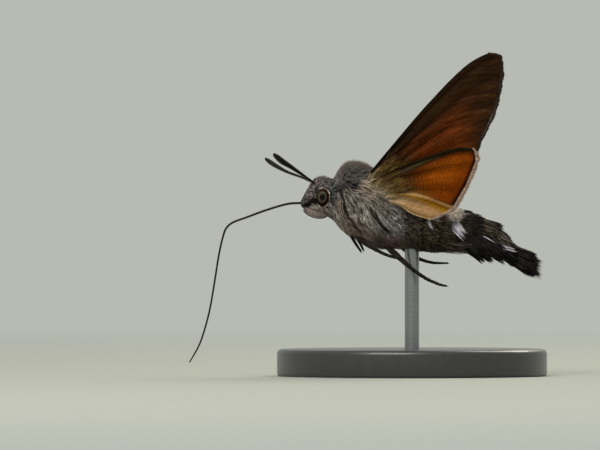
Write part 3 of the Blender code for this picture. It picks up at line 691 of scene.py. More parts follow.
# %% A batch of fur
def body_fur(count, stretch, ups, levels, size, pull, wave, seed, density=even, right=None, skew=1.0):
    """One batch of fur on a stretch of the body, on both sides or on the one named."""
    x, angle = body_roots(count, stretch, ups, seed, density)
    if right is not None:
        kept = (np.cos(angle) < 0) == right
        x, angle = x[kept], angle[kept]
    coat = coat_at(x, angle)
    draw = np.random.default_rng(seed + 9)
    vary = draw.uniform(0.75, 1.2, len(x))
    shift, tone, lean = lock_cells(x, angle, size, seed, pull)
    depth = coat_depth(x)
    high = coat.stand * draw.uniform(-0.6, 1.3, len(x)) + 0.07 * in_segment(x)
    high = high + 1.1 * pull * depth * (tone - 0.5)
    tone = 0.72 * tone + 0.28 * draw.uniform(0, 1, len(x)) + 0.10 * ripple(x, angle * 3.3, 1.5, seed + 4)

    def flow(at_x, at_angle):
        swirl = ripple(at_x, at_angle * 3.4, 2.2, seed) + 0.6 * ripple(at_x, at_angle * 3.4, 0.9, seed + 1)
        return coat_at(at_x, at_angle).flow + wave * (swirl + 1.6 * lean)

    lines, over, path = lay(on_body, x, angle, coat.length * vary, flow, -depth - 0.04, high, levels, shift)
    if stretch == REAR_SCALES:
        # painted shade: the front of each abdomen segment, under the rim of the one before, is darkened
        tone = tone - 0.35 * (1 - fade(in_segment(x), 0.0, 0.35))
    else:
        # painted shade in the flank's furrows, and the pale strands beside them
        tone = tone[:, None] + furrow_shade_and_strand_tone(path[..., 0], path[..., 1])
    colours = shaded(coat.dark, coat.pale, np.clip(tone, 0, 1) ** skew, levels, contrast=1.5)
    return tufts(lines, over, coat.width * vary, colours, unrolled(x, angle, stretch), seed)


# %% Coats of head, back, flanks and abdomen
# each call gives the roots, the stretch of body, from and to how many degrees up, the points along a tuft, a
# lock's size in mm, the pull to its middle, how much the fur swirls, and a seed
head_fur = body_fur(34000, HEAD, (-90, 91), 3, 0.15, 0.1, 0.14, 11, head_density, skew=1.6)
join_tufts("coat_head", [head_fur], GREY_COAT, "head")
back_fur = body_fur(60000, (-2.95, 4.7), (30, 91), 3, 0.18, 0.3, 0.22, 12)
join_tufts("coat_back", [back_fur], GREY_COAT, "thorax")
for side_name, side in SIDES:
    fur = body_fur(44000, (-3.1, 4.9), (-90, 32), 4, 0.17, 0.55, 0.36, 13, right=side < 0, skew=1.15)
    wisps = body_fur(3800, (-2.6, 4.7), (-75, 34), 5, 0.34, 0.75, 0.6, 26, right=side < 0, skew=0.40)
    join_tufts("coat_flank_" + side_name, [fur, wisps], GREY_COAT, "thorax")
upper_scales = body_fur(32000, REAR_SCALES, (0, 91), 3, 0.20, 0.3, 0.06, 14)
join_tufts("coat_abdomen_back", [upper_scales], DARK_COAT, "abdomen")
lower_scales = body_fur(33000, REAR_SCALES, (-90, 0), 3, 0.20, 0.3, 0.05, 15)
join_tufts("coat_abdomen_belly", [lower_scales], DARK_COAT, "abdomen")

# %% [markdown]
# ## Dots, fuzz and long hairs
# Three finer coats lie over the fur, and each is laid like it. Short black tufts stand in two columns of dots
# behind each eye. Thin pale hairs stand out of head and back and soften their edge against the backdrop. Long
# cream hairs of the flank reach over the roots of the wings, so that no one sees where wing and body meet.

# %% Dots behind the eye
def eye_dots(seed):
    """Two columns of seven dots behind each eye. A dot is eight short tufts."""
    draw = np.random.default_rng(seed)
    spots = [(x, z - 0.27 * k) for x, z in ((-3.22, 1.50), (-2.95, 1.36)) for k in range(7)]
    x, z = np.repeat(spots * 2, 8, axis=0).T + draw.uniform(-0.045, 0.045, (2, len(spots) * 16))
    rise, tall, _ = np.moveaxis(body_form(x), -1, 0)
    share = (z - rise) / tall
    angle = np.arcsin(np.sign(share) * np.abs(share) ** (RING_SHAPE / 2))
    angle = np.where(np.arange(len(x)) < len(x) / 2, angle, math.pi - angle)
    lines, over, _ = lay(on_body, x, angle, 0.19, 0.0, -0.06, draw.uniform(0.03, 0.08, len(x)), 4)
    colours = shaded("#060606", "#15161a", draw.uniform(0, 1, len(x)), 4, root=0.8)
    return tufts(lines, over, 0.065, colours, unrolled(x, angle, HEAD), seed)


join_tufts("dots_behind_eyes", [eye_dots(23)], GREY_COAT, "head")

# %% Fuzz of the back
def back_fuzz(count, seed, stretch=(-4.9, 4.4)):
    """Fine pale hairs that stand out of the fur of head and back."""
    x, angle = body_roots(count, stretch, (25, 91), seed)
    draw = np.random.default_rng(seed)
    vary = draw.uniform(0.7, 1.3, len(x))
    high, lean = draw.uniform(0.06, 0.40, len(x)), draw.normal(0, 0.5, len(x))
    lines, over, _ = lay(on_body, x, angle, 0.50 * vary, lean, -0.2, high, 4)
    pale = coat_at(x, angle).pale
    colours = shaded(pale * 0.8, pale * 1.4, draw.uniform(0, 1, len(x)), 4, root=0.5)
    return tufts(lines, over, 0.038 * vary, colours, unrolled(x, angle, stretch), seed)


join_tufts("fuzz_of_back", [back_fuzz(13000, 21)], GREY_COAT, "thorax", "head")

# %% Hair over the wing roots
def mantle_hair(count, seed, stretch=(-1.1, 3.0)):
    """Long cream hairs that stand off the flank. They are shorter and greyer towards the rear."""
    x, angle = body_roots(count, stretch, (4, 30), seed, lambda x, up: 0.08 + 0.92 * fade(x, -0.9, 0.5))
    draw = np.random.default_rng(seed)
    vary = draw.uniform(0.7, 1.25, len(x))
    shift, tone, _ = lock_cells(x, angle, 0.2, seed, 0.6)
    tone = 0.45 * tone + 0.55 * draw.uniform(0, 1, len(x))
    high = draw.uniform(0.35, 1.1, len(x)) * (1 - 0.5 * fade(x, 1.6, 3.0))
    lean = np.radians(12) + draw.normal(0, 0.26, len(x))

    def flow(at_x, at_angle):
        return lean + 0.25 * ripple(at_x, at_angle * 3.4, 1.2, seed)

    length = 1.5 * vary * (1 - 0.4 * fade(x, 1.0, 3.0))
    lines, over, _ = lay(on_body, x, angle, length, flow, -0.4, high, 5, shift)
    rear = np.maximum(fade(x, 0.6, 2.4), 0.8 * (1 - fade(up_degrees(angle), 6, 20)))
    dark, pale = painted("#5f5042", ("#2c2725", rear)), painted("#dccab5", ("#c6bdb8", rear))
    colours = shaded(dark, pale, tone, 5, root=0.5, tip=1.05)
    return tufts(lines, over, 0.06 * vary, colours, unrolled(x, angle, stretch), seed)


join_tufts("hair_over_wing_roots", [mantle_hair(14000, 25)], GREY_COAT, "thorax")

# %% [markdown]
# ## Locks of long scales
# On the rear half of the abdomen long scales stand in flat locks: white ones on the sides, black ones behind
# them, and the tail's brush that gives the animal its bird-like look. A lock is a fan of single tufts
# that start side by side, spread or close as they go, and end at ragged lengths. Its place, direction
# and size are the CAD's own. A lock can be split into prongs, each with a point of its own.

# %% One lock
def lock_lines(root, along, out, length, width, count, seed, prongs=0, spread=0.25, curl=0.08, deep=0.4):
    """Centre lines of one lock's tufts, their outward direction, and a tone for each."""
    draw = np.random.default_rng(seed)
    along = unit(along)
    side = unit(np.cross(along, out))
    out = np.cross(side, along)
    place = draw.uniform(-0.5, 0.5, count)
    goal, edge, reach = place * (1 + spread), np.abs(place * 2), 1.0
    if prongs:
        prong = np.minimum(np.floor((place + 0.5) * prongs), prongs - 1)
        centre = (prong + 0.5) / prongs - 0.5
        goal, edge = centre * (1 + spread) + (place - centre) * 0.15, np.abs(place - centre) * 2 * prongs
        reach = 0.82 + 0.22 * draw_cells(prong, prong, seed)
    layer = draw.uniform(-0.5, 0.5, count)
    reach = length * reach * (1 - 0.30 * edge**1.5 - 0.14 * draw.uniform(0, 1, count) ** 2)
    place, goal, reach, layer = (some[:, None, None] for some in (place, goal, reach, layer))
    bend = draw.normal(0, 0.03, (count, 2))[:, None]
    t = np.linspace(0, 1, 5)[None, :, None]
    across = (place + (goal - place) * t**1.8 + bend[..., :1] * t**2) * width
    rise = layer * (1 - 0.5 * t) * deep - (curl * length * t**2 + bend[..., 1:] * length * t**2)
    lines = root + along * reach * t + side * across + out * rise
    cells = draw_cells(np.floor(place[:, 0, 0] * 9), np.full(count, seed), 5)
    return lines, out, 0.5 * draw.uniform(0, 1, count) + 0.5 * cells


def body_lock(x, angle, along, length, width, dark, pale, seed, sink=0.35, **how):
    """One lock on the body as a batch of tufts."""
    out, root = slopes(on_body, x, angle, 0.0)[2], on_body(x, angle, -sink)
    tufts_per_mm2 = 27
    count = int(width * length * tufts_per_mm2)
    lines, over, tone = lock_lines(root, along, out, length, width, count, seed, **how)
    colours = shaded(dark, pale, tone, 5, root=0.35, tip=1.1)
    roots = unrolled(x, angle, REAR) + np.random.default_rng(seed + 5).uniform(-0.02, 0.02, (count, 2))
    return tufts(lines, over, 0.095, colours, np.clip(roots, 0, 0.996), seed, 0.4)


# %% Places of the locks
BACK_LOCKS = (
    # behind, first degree, last degree, locks, length, width, lift, upper colours, lower colours
    (10.9, 36, 144, 8, 1.7, 1.0, 15, ("#070606", "#221d1b"), ("#070606", "#1e1917")),
    (11.4, 60, 120, 2, 1.15, 0.40, 21, ("#a3928e", "#efe0dc"), ("#a3928e", "#efe0dc")),
    (12.0, 36, 144, 9, 2.3, 1.2, 15, ("#070606", "#1e1a18"), ("#070606", "#1c1816")),
    (13.3, 18, 162, 12, 2.8, 1.2, 15, ("#0c0a09", "#3f362f"), ("#19130f", "#7b6d5e")),
    (14.7, 8, 172, 12, 2.4, 1.1, 15, ("#120e0b", "#423831"), ("#19130f", "#76675d")),
)
SIDE_LOCKS = {
    # behind, first degree, last degree, locks, length, width, pitch down, splay, sink, dark, pale, prongs
    "white_side_locks": (
        (7.50, 14, 18, 2, 1.5, 0.34, 62, 12, 0.12, "#b5b0bf", "#f4f0f9", 1),
        (8.15, 22, 29, 2, 1.1, 0.34, 18, 12, 0.08, "#6f6863", "#d2c9c2", 1),
        (10.35, 4, 24, 4, 2.05, 0.72, 46, 14, 0.12, "#bcb7cc", "#f9f6ff", 2),
        (13.40, -3, -2, 1, 2.1, 0.12, 28, 15, 0.05, "#a19cab", "#efeaf5", 1),
        (15.65, -12, -6, 2, 2.1, 0.26, 17, 15, -0.28, "#8d8896", "#e6e1ec", 1),
    ),
    "black_side_locks": (
        (11.6, -54, -14, 5, 3.1, 1.3, 42, 15, 0.35, "#050404", "#1c1715", 3),
        (12.6, -54, -10, 5, 3.3, 1.3, 42, 15, 0.35, "#050404", "#1e1917", 3),
        (13.6, -52, -4, 6, 3.6, 1.2, 40, 15, 0.35, "#050404", "#211b18", 3),
        (14.8, -56, -20, 5, 3.6, 1.2, 40, 12, 0.35, "#050404", "#1a1614", 3),
        (10.4, -44, -40, 2, 3.4, 0.30, 7, 12, 0.02, "#1f1613", "#5c463e", 1),
    ),
}

# %% Rows of locks
def back_rows():
    """Locks over the back in rows, each a little off its place, so that the rows don't read as steps."""
    draw = np.random.default_rng(290)
    for n, (x, first, last, count, length, width, lift, upper, lower) in enumerate(BACK_LOCKS):
        for k in range(count):
            angle = math.radians(first + (last - first) * k / (count - 1))
            behind, rise = x + draw.uniform(-0.35, 0.35), math.radians(lift + draw.uniform(-4, 3))
            out = slopes(on_body, behind, angle, 0.0)[2]
            ahead = unit(on_body(behind + 0.05, angle) - on_body(behind - 0.05, angle))
            along = ahead * math.cos(rise) + out * math.sin(rise)
            dark, pale = upper if math.sin(angle) > 0.72 else lower
            yield body_lock(behind, angle, along, length, width, dark, pale, 300 + 20 * n + k, prongs=2)


def side_rows(rows, first_seed):
    """Locks on both sides, which point back, down and a little out."""
    for n, (x, first, last, count, length, width, pitch, splay, sink, dark, pale, prongs) in enumerate(rows):
        for k in range(count):
            up = first + (last - first) * k / max(count - 1, 1)
            down, outwards = math.radians(pitch + 3 * math.sin(5 * k)), math.radians(splay)
            level, seed = math.cos(outwards), first_seed + 20 * n + 2 * k
            how = dict(sink=sink, prongs=prongs, deep=0.3)
            for side in (-1.0, 1.0):
                along = (math.cos(down) * level, side * math.sin(outwards), -math.sin(down) * level)
                angle = math.radians(up if side < 0 else 180 - up)
                yield body_lock(x, angle, along, length, width, dark, pale, seed, **how)


join_tufts("locks_of_back", back_rows(), DARK_COAT, "abdomen")
for n, (name, rows) in enumerate(SIDE_LOCKS.items()):
    join_tufts(name, side_rows(rows, 400 + 100 * n), DARK_COAT, "abdomen")

# %% Tail brush
FAN_ROOT = np.array((17.45, 0.0, -6.05))
FAN_TIERS = np.array(  # rise, length, pitch in degrees
    ((1.12, 2.85, -22), (0.45, 3.45, -27), (-0.25, 3.55, -31), (-0.88, 2.75, -32))
)
TAIL_LOCKS = 81


def tail_brush():
    """The tail: flat locks between the CAD's four tiers. Every third one is a thin spike."""
    draw = np.random.default_rng(600)
    for k in range(TAIL_LOCKS):
        share, spike, seed = draw.uniform(-1, 1), k % 3 == 0, 601 + k
        level = (k + 0.5) / TAIL_LOCKS * 3
        rise, length, pitch = (np.interp(level, range(4), column) for column in FAN_TIERS.T)
        yaw, tilt = math.radians(33 * share), math.radians(pitch + draw.normal(0, 1.6 + 1.8 * spike))
        along = (math.cos(tilt) * math.cos(yaw), math.sin(yaw), math.sin(tilt) * math.cos(yaw))
        out = np.array((math.sin(-tilt), 0.0, math.cos(tilt)))
        root = THORAX + FAN_ROOT + np.array((-0.5, share * 1.2, rise))
        reach = (length + 0.5) * (1 - 0.10 * share**2) * (draw.uniform(0.82, 1.02) + 0.07 * spike)
        count, wide, prongs, deep = (36, 0.22, 0, 0.12) if spike else (78, 0.8, 3, 0.45)
        lines, over, tone = lock_lines(root, along, out, reach, wide, count, seed, prongs, 0.3, 0.0, deep)
        tone = 0.7 * tone + 0.3 * draw.uniform(0, 1)
        colours = shaded("#030202", "#261f1b", tone, 5, root=0.6, tip=1.25)
        u = 0.5 + 0.42 * share + draw.uniform(-0.04, 0.04, count)
        v = 0.08 + 0.28 * level + draw.uniform(-0.05, 0.05, count)
        yield tufts(lines, over, 0.10, colours, np.stack([u, v], -1), seed, 0.5)


join_tufts("tail_brush", tail_brush(), DARK_COAT, "tail_fan")

# %% Stray hairs of the belly
def stray_hairs(count, seed):
    """Single long hairs that hang out behind the belly."""
    draw = np.random.default_rng(seed)
    x, angle = draw.uniform(9.0, 11.4, count), np.radians(-90 + draw.normal(0, 26, count))
    pitch, yaw = np.radians(draw.uniform(8, 20, count)), draw.normal(0, 0.15, count)
    along = np.stack([np.cos(pitch) * np.cos(yaw), np.sin(yaw), -np.sin(pitch)], -1)[:, None]
    t = np.linspace(0, 1, 5)[None, :, None]
    length = draw.uniform(1.0, 2.7, count)[:, None, None]
    lines = on_body(x, angle, -0.1)[:, None] + along * length * t + np.array((0, 0, 0.12)) * length * t**2
    colours = shaded("#3a3129", "#a39786", draw.uniform(0, 1, count), 5, root=0.8)
    return tufts(lines, (0.0, -1.0, 0.0), 0.045, colours, unrolled(x, angle, REAR), seed, 0.0)


join_tufts("stray_hairs_of_belly", [stray_hairs(90, 650)], DARK_COAT, "abdomen")

# %% [markdown]
# ## Routes
# Feelers, proboscis and legs are round bars along a bent line. A route turns a few named points into a smooth
# line with even steps, and carries two side directions along it without twist, so that a grid or a row of
# tufts can be laid round it like on the body.

# %% Routes
def smooth_at(points, t):
    """Points on the smooth curve through the points, for t from 0 to 1."""
    points = np.asarray(points, float)
    spans = len(points) - 1
    place = np.clip(np.asarray(t, float), 0, 1) * spans
    i = np.minimum(place.astype(int), spans - 1)
    f = (place - i)[..., None]
    b, c = points[i], points[i + 1]
    a = np.where((i > 0)[..., None], points[np.maximum(i - 1, 0)], 2 * b - c)
    d = np.where((i + 2 <= spans)[..., None], points[np.minimum(i + 2, spans)], 2 * c - b)
    return 0.5 * (2 * b + (c - a) * f + (2 * a - 5 * b + 4 * c - d) * f**2 + (3 * b - a - 3 * c + d) * f**3)


def route_of(rows, steps=240):
    """A smooth line through rows of x, y, z and radius, placed from the thorax, with even steps."""
    dense = smooth_at(rows, np.linspace(0, 1, 1500))
    gaps = np.linalg.norm(np.diff(dense[:, :3], axis=0), axis=1)
    reach = np.concatenate([[0], np.cumsum(gaps)])
    wanted = np.linspace(0, reach[-1], steps + 1)
    spots = np.stack([np.interp(wanted, reach, column) for column in dense.T], -1)
    middle = THORAX + spots[:, :3]
    ahead = unit(np.gradient(middle, axis=0))
    across = [unit(np.cross(ahead[0], (0.0, 0.0, 1.0)))]
    for direction in ahead:
        across.append(unit(across[-1] - direction * (across[-1] @ direction)))
    across = np.array(across[1:])
    parts = (middle, across, np.cross(across, ahead), spots[:, 3:])
    return SimpleNamespace(reach=wanted, middle=middle, parts=parts)


def round_route(route, detail=lambda s, angle: 1.0):
    """The surface round a route: s in mm along it, the angle round it, and how far out."""

    def surface(s, angle, grow=0.0):
        middle, across, over, radius = (
            np.stack([np.interp(s, route.reach, column) for column in part.T], -1) for part in route.parts
        )
        radius = np.maximum(radius[..., 0] * detail(s, angle) + grow, 0.0)[..., None]
        return middle + (across * np.cos(angle)[..., None] + over * np.sin(angle)[..., None]) * radius

    return surface


def bar(name, route, along, around, detail, paint, ends):
    """A closed bar along a route, rounded at both ends."""
    total, surface = route.reach[-1], round_route(route, detail)
    to_centre = -9.0

    def place(u, v):
        s = u * total
        middle = surface(s, TAU * v, to_centre)
        closing = rounded(s / ends[0]) * rounded((total - s) / ends[1])
        return middle + (surface(s, TAU * v) - middle) * closing[:, None]

    return bent_grid(name, along, around, place, lambda u, v: paint(u * total, TAU * v))


# %% [markdown]
# ## Feelers
# A hawk moth's feelers thicken slowly to a club near the end and finish in a small hook. They are ringed, and
# each of some sixty rings swells a little. The upper side wears dark scales, the lower is bare and paler.

# %% Feelers
LEFT_FEELER = (  # x, y, z and radius, as for every route
    (-4.25, -0.85, 1.25, 0.16), (-4.72, -0.95, 1.80, 0.12), (-5.67, -2.00, 2.47, 0.13),
    (-6.57, -3.20, 3.09, 0.17), (-7.70, -4.70, 3.85, 0.25), (-8.56, -5.80, 4.38, 0.325),
    (-9.05, -6.42, 4.78, 0.31), (-9.40, -6.85, 5.08, 0.23), (-9.58, -7.06, 5.25, 0.09),
)
RIGHT_FEELER = (
    (-4.50, 0.85, 1.30, 0.16), (-5.06, 0.95, 1.98, 0.12), (-6.28, 2.40, 2.62, 0.125),
    (-7.98, 4.40, 3.27, 0.16), (-9.11, 5.70, 3.87, 0.23), (-9.86, 6.50, 4.34, 0.265),
    (-10.38, 7.06, 4.72, 0.18), (-10.56, 7.26, 4.90, 0.05),
)
RING_LENGTH = 0.15


def ringed(s, angle):
    """Each ring swells towards its front end."""
    return 1 + 0.07 * ((s / RING_LENGTH) % 1.0) ** 1.5


def feeler_paint(s, angle):
    paint = painted("#0d0806", ("#6b5549", fade(-np.sin(angle), 0.55, 0.95) * 0.7))
    return paint * (0.85 + 0.3 * ((s / RING_LENGTH) % 1.0))[:, None]


for side_name, rows in (("left", LEFT_FEELER), ("right", RIGHT_FEELER)):
    feeler = bar("feeler_" + side_name, route_of(rows), 520, 20, ringed, feeler_paint, (0.05, 0.12))
    finish_piece(feeler, CHITIN, "antenna_" + side_name)

# %% [markdown]
# ## Proboscis
# The tongue is as long as the body: two half tubes zipped together, with a fine groove along each side and
# fine rings across, which let it coil like a watch spring. It is one smooth bar here, so its three CAD
# lengths show no seam.

# %% Proboscis
PROBOSCIS = (
    (-5.90, -0.17), (-7.60, -0.22), (-8.84, -0.48), (-10.70, -1.07), (-12.56, -1.76),
    (-14.04, -2.31), (-14.80, -2.93), (-15.20, -3.92), (-15.67, -6.03), (-16.16, -9.13),
    (-16.66, -11.98), (-17.27, -14.33), (-17.90, -16.08), (-18.94, -17.93),
)


def zipped(s, angle):
    """A groove along the two sides, and fine rings across."""
    groove = 1 - 0.16 * bell(np.abs(np.cos(angle)), 1, 0.05)
    return groove * (1 + 0.035 * np.sin(s / 0.16 * TAU))


def proboscis_paint(s, angle):
    """Nearly black, browner at the two grooves and towards the tip."""
    groove, tip = fade(np.abs(np.cos(angle)), 0.85, 1.0), fade(s, 20.0, 26.0)
    return painted("#0c0805", ("#2a1c13", 0.5 * groove), ("#261a12", 0.5 * tip))


tongue_rows = [(x, 0.0, z, 0.135 - 0.045 * k / 13) for k, (x, z) in enumerate(PROBOSCIS)]
tongue_rows[-1] = (*tongue_rows[-1][:3], 0.07)
tongue_route = route_of(tongue_rows, 400)
print("proboscis:", round(float(tongue_route.reach[-1]), 1), "mm long")
tongue = bar("proboscis", tongue_route, 900, 20, zipped, proboscis_paint, (0.05, 0.2))
finish_piece(tongue, CHITIN, "proboscis_base", "proboscis_bend", "proboscis_end")

# %% [markdown]
# ## Legs
# Six legs hang loose in flight. Each has a stout thigh and shin under scales, then a thin five-jointed foot
# with two claws, and the hind shins carry pairs of spurs. The bars follow the CAD's routes at the real
# thickness. Short tufts clothe thigh and shin, and the feet keep only tiny spines.

# %% Routes of the legs
FORELEG = (
    (-1.60, -2.00, 0.20, 0.20), (-2.15, -3.10, -0.30, 0.26), (-2.00, -3.40, -1.40, 0.26),
    (-1.36, -3.00, -3.02, 0.21), (-0.58, -2.30, -4.50, 0.15), (0.14, -1.62, -5.58, 0.09),
)
RIGHT_FORELEG = (
    (-1.60, 2.00, 0.20, 0.20), (-2.15, 3.10, -0.30, 0.26), (-1.92, 3.40, -1.40, 0.26),
    (-1.10, 3.00, -2.95, 0.21), (-0.15, 2.30, -4.32, 0.15), (0.44, 1.60, -5.44, 0.09),
)
MIDLEG = (
    (-0.30, -1.40, -3.60, 0.22), (0.45, -2.00, -4.55, 0.22), (1.65, -2.35, -5.26, 0.19),
    (2.60, -2.55, -5.78, 0.16), (3.60, -2.70, -6.15, 0.14), (4.76, -2.75, -6.45, 0.09),
)
HINDLEG = (
    (2.60, -1.00, -4.20, 0.26), (3.35, -1.30, -5.30, 0.30), (4.00, -1.45, -5.90, 0.30),
    (4.55, -1.55, -6.40, 0.25), (5.80, -1.70, -7.49, 0.20), (7.30, -1.80, -8.53, 0.18),
    (8.80, -1.90, -9.20, 0.14), (9.70, -1.90, -9.40, 0.08),
)
RIGHT_HINDLEG = (
    (3.80, 0.90, -4.20, 0.24), (4.65, 1.30, -5.10, 0.20), (5.95, 1.60, -6.00, 0.18),
    (7.00, 1.75, -6.52, 0.17), (8.20, 1.85, -6.82, 0.14), (9.90, 1.90, -6.87, 0.08),
)
LEGS = (
    # name, route, where the foot starts as a share of the length, skin, dark and pale scales above the foot
    ("foreleg_left", FORELEG, 0.66, "#3c322c", "#241c18", "#b5a396"),
    ("foreleg_right", RIGHT_FORELEG, 0.66, "#3c322c", "#241c18", "#b5a396"),
    ("midleg_left", MIDLEG, 0.45, "#17100c", "#0d0907", "#4a3d34"),
    ("midleg_right", np.array(MIDLEG) * (1, -1, 1, 1), 0.45, "#17100c", "#0d0907", "#4a3d34"),
    ("hindleg_left", HINDLEG, 0.42, "#17100c", "#0d0907", "#43372f"),
    ("hindleg_right", RIGHT_HINDLEG, 0.42, "#17100c", "#0d0907", "#43372f"),
)

# %% Scales, claws and spurs
HOOK_LEVELS = 6


def leg_scales(route, foot, dark, pale, seed):
    """Short flat scales on thigh and shin, and tiny spines on the foot."""
    for start, end, count, length, width, lift, *tones in (
        (0.02, foot, 620, 0.42, 0.075, 0.05, dark, pale),
        (foot, 0.97, 420, 0.22, 0.05, 0.03, "#0d0907", "#1f1813"),
    ):
        share, turn = spread_spots(count, seed).T
        share, angle = start + share * (end - start), turn * TAU
        draw = np.random.default_rng(seed)
        vary, high = draw.uniform(0.7, 1.25, count), lift * draw.uniform(0.4, 1.4, count)
        s, surface = share * route.reach[-1], round_route(route)
        lines, over, _ = lay(surface, s, angle, length * vary, 0.0, -0.03, high, 3, mirror=False)
        tone = 0.3 * draw.uniform(0, 1, count) + 0.7 * draw_cells(np.floor(angle * 2.4), 0.0, seed)
        roots = np.stack([share, turn], -1) * (1 - PATCH)
        yield tufts(lines, over, width * vary, shaded(*tones, tone, 3, root=0.7), roots, seed)


def hook(start, along, bend, length, width):
    """A thorn that bends as it tapers: its centre line, outward side and width."""
    t = np.linspace(0, 1, HOOK_LEVELS)[:, None]
    return start + unit(along) * length * t + unit(bend) * length * 0.45 * t**2, [unit(bend)], width


def hooks_of(route, spurs):
    """Two claws at the tip, and pairs of spurs on the shin."""
    tip, ahead = route.middle[-1], unit(route.middle[-1] - route.middle[-12])
    down = np.array((0.0, 0.0, -1.0))
    for side in (-1.0, 1.0):
        aside = unit(np.cross(ahead, down)) * side
        yield hook(tip - ahead * 0.05, ahead + aside * 0.7, down, 0.26, 0.09)
        for share in spurs:
            k = int(share * (len(route.middle) - 1))
            forward = unit(route.middle[k + 4] - route.middle[k])
            yield hook(route.middle[k], forward + aside * 0.35 + down * 0.3, forward, 0.8, 0.13)


# %% Legs
all_hooks = []
for number, (name, rows, foot, skin_tone, dark, pale) in enumerate(LEGS):
    route = route_of(rows)
    total = route.reach[-1]

    def jointed(s, angle):
        """Five short joints swell towards the tip of the foot."""
        beat = ((s / total - foot) / (1 - foot) * 5) % 1.0
        return 1 + fade(s / total, foot - 0.02, foot + 0.02) * (0.28 * beat**3 - 0.06)

    def leg_paint(s, angle):
        return painted(skin_tone, ("#0a0706", fade(s / total, foot - 0.05, foot + 0.08)))

    finish_piece(bar(name + "_bar", route, 200, 16, jointed, leg_paint, (0.1, 0.08)), CHITIN, name)
    join_tufts(name + "_scales", leg_scales(route, foot, dark, pale, 700 + number), LEG_COAT, name)
    all_hooks += hooks_of(route, (foot * 0.7, foot * 0.98) if name.startswith("hind") else ())

hook_lines, hook_over, hook_width = (np.array(part) for part in zip(*all_hooks))
hook_tones = np.tile(linear("#0b0806"), (len(all_hooks), HOOK_LEVELS, 1))
hook_roots = np.stack([np.linspace(0.05, 0.95, len(all_hooks)), np.full(len(all_hooks), 0.5)], -1)
claws = tufts(hook_lines, hook_over, hook_width, hook_tones, hook_roots, 0, 0.0, 0.5, (1.0, 0.9, 0.6, 0.3))
join_tufts("claws_and_spurs", [claws], CHITIN, *[leg[0] for leg in LEGS])

# %% [markdown]
# ## Eyes
# A moth's eye is a dome of thousands of small six-sided lenses. Each lens is thirty thousandths of a
# millimetre wide, too fine for this picture, so they are drawn about twice as wide. Facets that point
# straight out to the side swallow the light and show as a dark spot, with an olive ring round it. The ring is
# a colour ramp over the distance from the spot, measured in a space that is stretched to the ring's oval.

# %% Eyes
EYE_RING = (
    (0.0, "#010101"), (0.34, "#030202"), (0.47, "#27221a"), (0.62, "#3a3428"),
    (0.74, "#5e5747"), (0.86, "#332419"), (1.0, "#28120d"),
)
RING_STRETCH = np.array((1820.0, 700.0, 1330.0))


def eye_material(name, spot_mm):
    """Glossy lens chitin: brown, with a dark spot in a paler ring round a place."""
    material, tree, shader = new_material(
        name, Roughness=0.4, IOR=1.45, Specular_IOR_Level=0.04, Coat_Weight=0.06, Coat_Roughness=0.05
    )
    place = add_node(tree, "TexCoord", {})["Object"]
    centre = (THORAX + spot_mm) * MM * RING_STRETCH
    space = {"Vector": place, "Location": -centre, "Scale": RING_STRETCH}
    centred = add_node(tree, "Mapping", space)["Vector"]
    away = add_node(tree, "VectorMath", {0: centred}, operation="LENGTH")["Value"]
    ring = add_node(tree, "ValToRGB", {"Fac": away}, EYE_RING)["Color"]
    cells = {"Vector": place, "Scale": 1 / (0.055 * MM), "Randomness": 0.35}
    facet = add_node(tree, "TexVoronoi", cells)["Distance"]
    span = {"Value": facet, "From Max": 0.8, "To Min": 1.12, "To Max": 0.7}
    dome = add_node(tree, "MapRange", span)["Result"]
    shade = add_node(tree, "HueSaturation", {"Color": ring, "Value": dome})["Color"]
    dress(tree, shader, shade, dome, 0.010, 0.7)
    return material


for side_name, side in SIDES:
    middle = EYE_AT * (1, side, 1)
    bm = bmesh.new()
    bmesh.ops.create_uvsphere(bm, u_segments=72, v_segments=44, radius=1.0)
    bmesh.ops.scale(bm, vec=tuple(EYE_RADII * MM), verts=bm.verts)
    bmesh.ops.translate(bm, vec=tuple((THORAX + middle) * MM), verts=bm.verts)
    lens = eye_material("eye_lens_" + side_name, middle + (-0.05, -0.78 * side, 0.12))
    finish_piece(shown_form("eye_dome_" + side_name, bm), (lens, "eye"), "eye_" + side_name)

# %% Pale rim of the eye
def eye_rim(count=220):
    """A thin line of short pale hairs over, behind and below the socket of each eye."""
    for n, (_, side) in enumerate(SIDES):
        draw = np.random.default_rng(900 + n)
        turn, ring = draw.uniform(-0.62 * math.pi, 0.60 * math.pi, count), draw.uniform(1.04, 1.12, count)
        c, s, none = np.cos(turn), np.sin(turn), np.zeros(count)
        inner = none + side * (EYE_AT[1] + 0.02)
        spots = [EYE_AT[0] + EYE_RADII[0] * ring * c, inner, EYE_AT[2] + EYE_RADII[2] * ring * s]
        root = THORAX + np.stack(spots, -1)[:, None]
        away = np.stack([0.8 * s - 0.35 * c, none, -0.35 * s - 0.8 * c], -1)
        away = unit(away * np.where(turn > 0.3, -1.0, 1.0)[:, None])[:, None]
        length = draw.uniform(0.16, 0.34, count)[:, None, None]
        t = np.linspace(0, 1, 4)[None, :, None]
        out = np.array((0.0, -side, 0.0))
        lines = root + away * length * t + out * (0.15 * t * (1 - t) + (0.22 + 0.08 * c)[:, None, None])
        tone = draw.uniform(0, 1, count) - 0.35 * np.cos(turn * 5 + 0.6)
        colours = shaded("#4f4641", "#cfc6be", tone, 4, root=0.75)
        roots = np.stack([0.25 + 0.5 * n + 0.18 * c, 0.5 + 0.4 * s], -1)
        yield tufts(lines, out, 0.045, colours, roots, 910 + n)


join_tufts("eye_rim_hairs", eye_rim(), GREY_COAT, "head")

# %% [markdown]
# ## Palps
# Two plump palps curve up under the face and sheath the root of the tongue. They are clothed in smooth
# pinkish-grey scales that lie flat like roof tiles, so each palp is a closed form with rows of very
# short tufts on it.

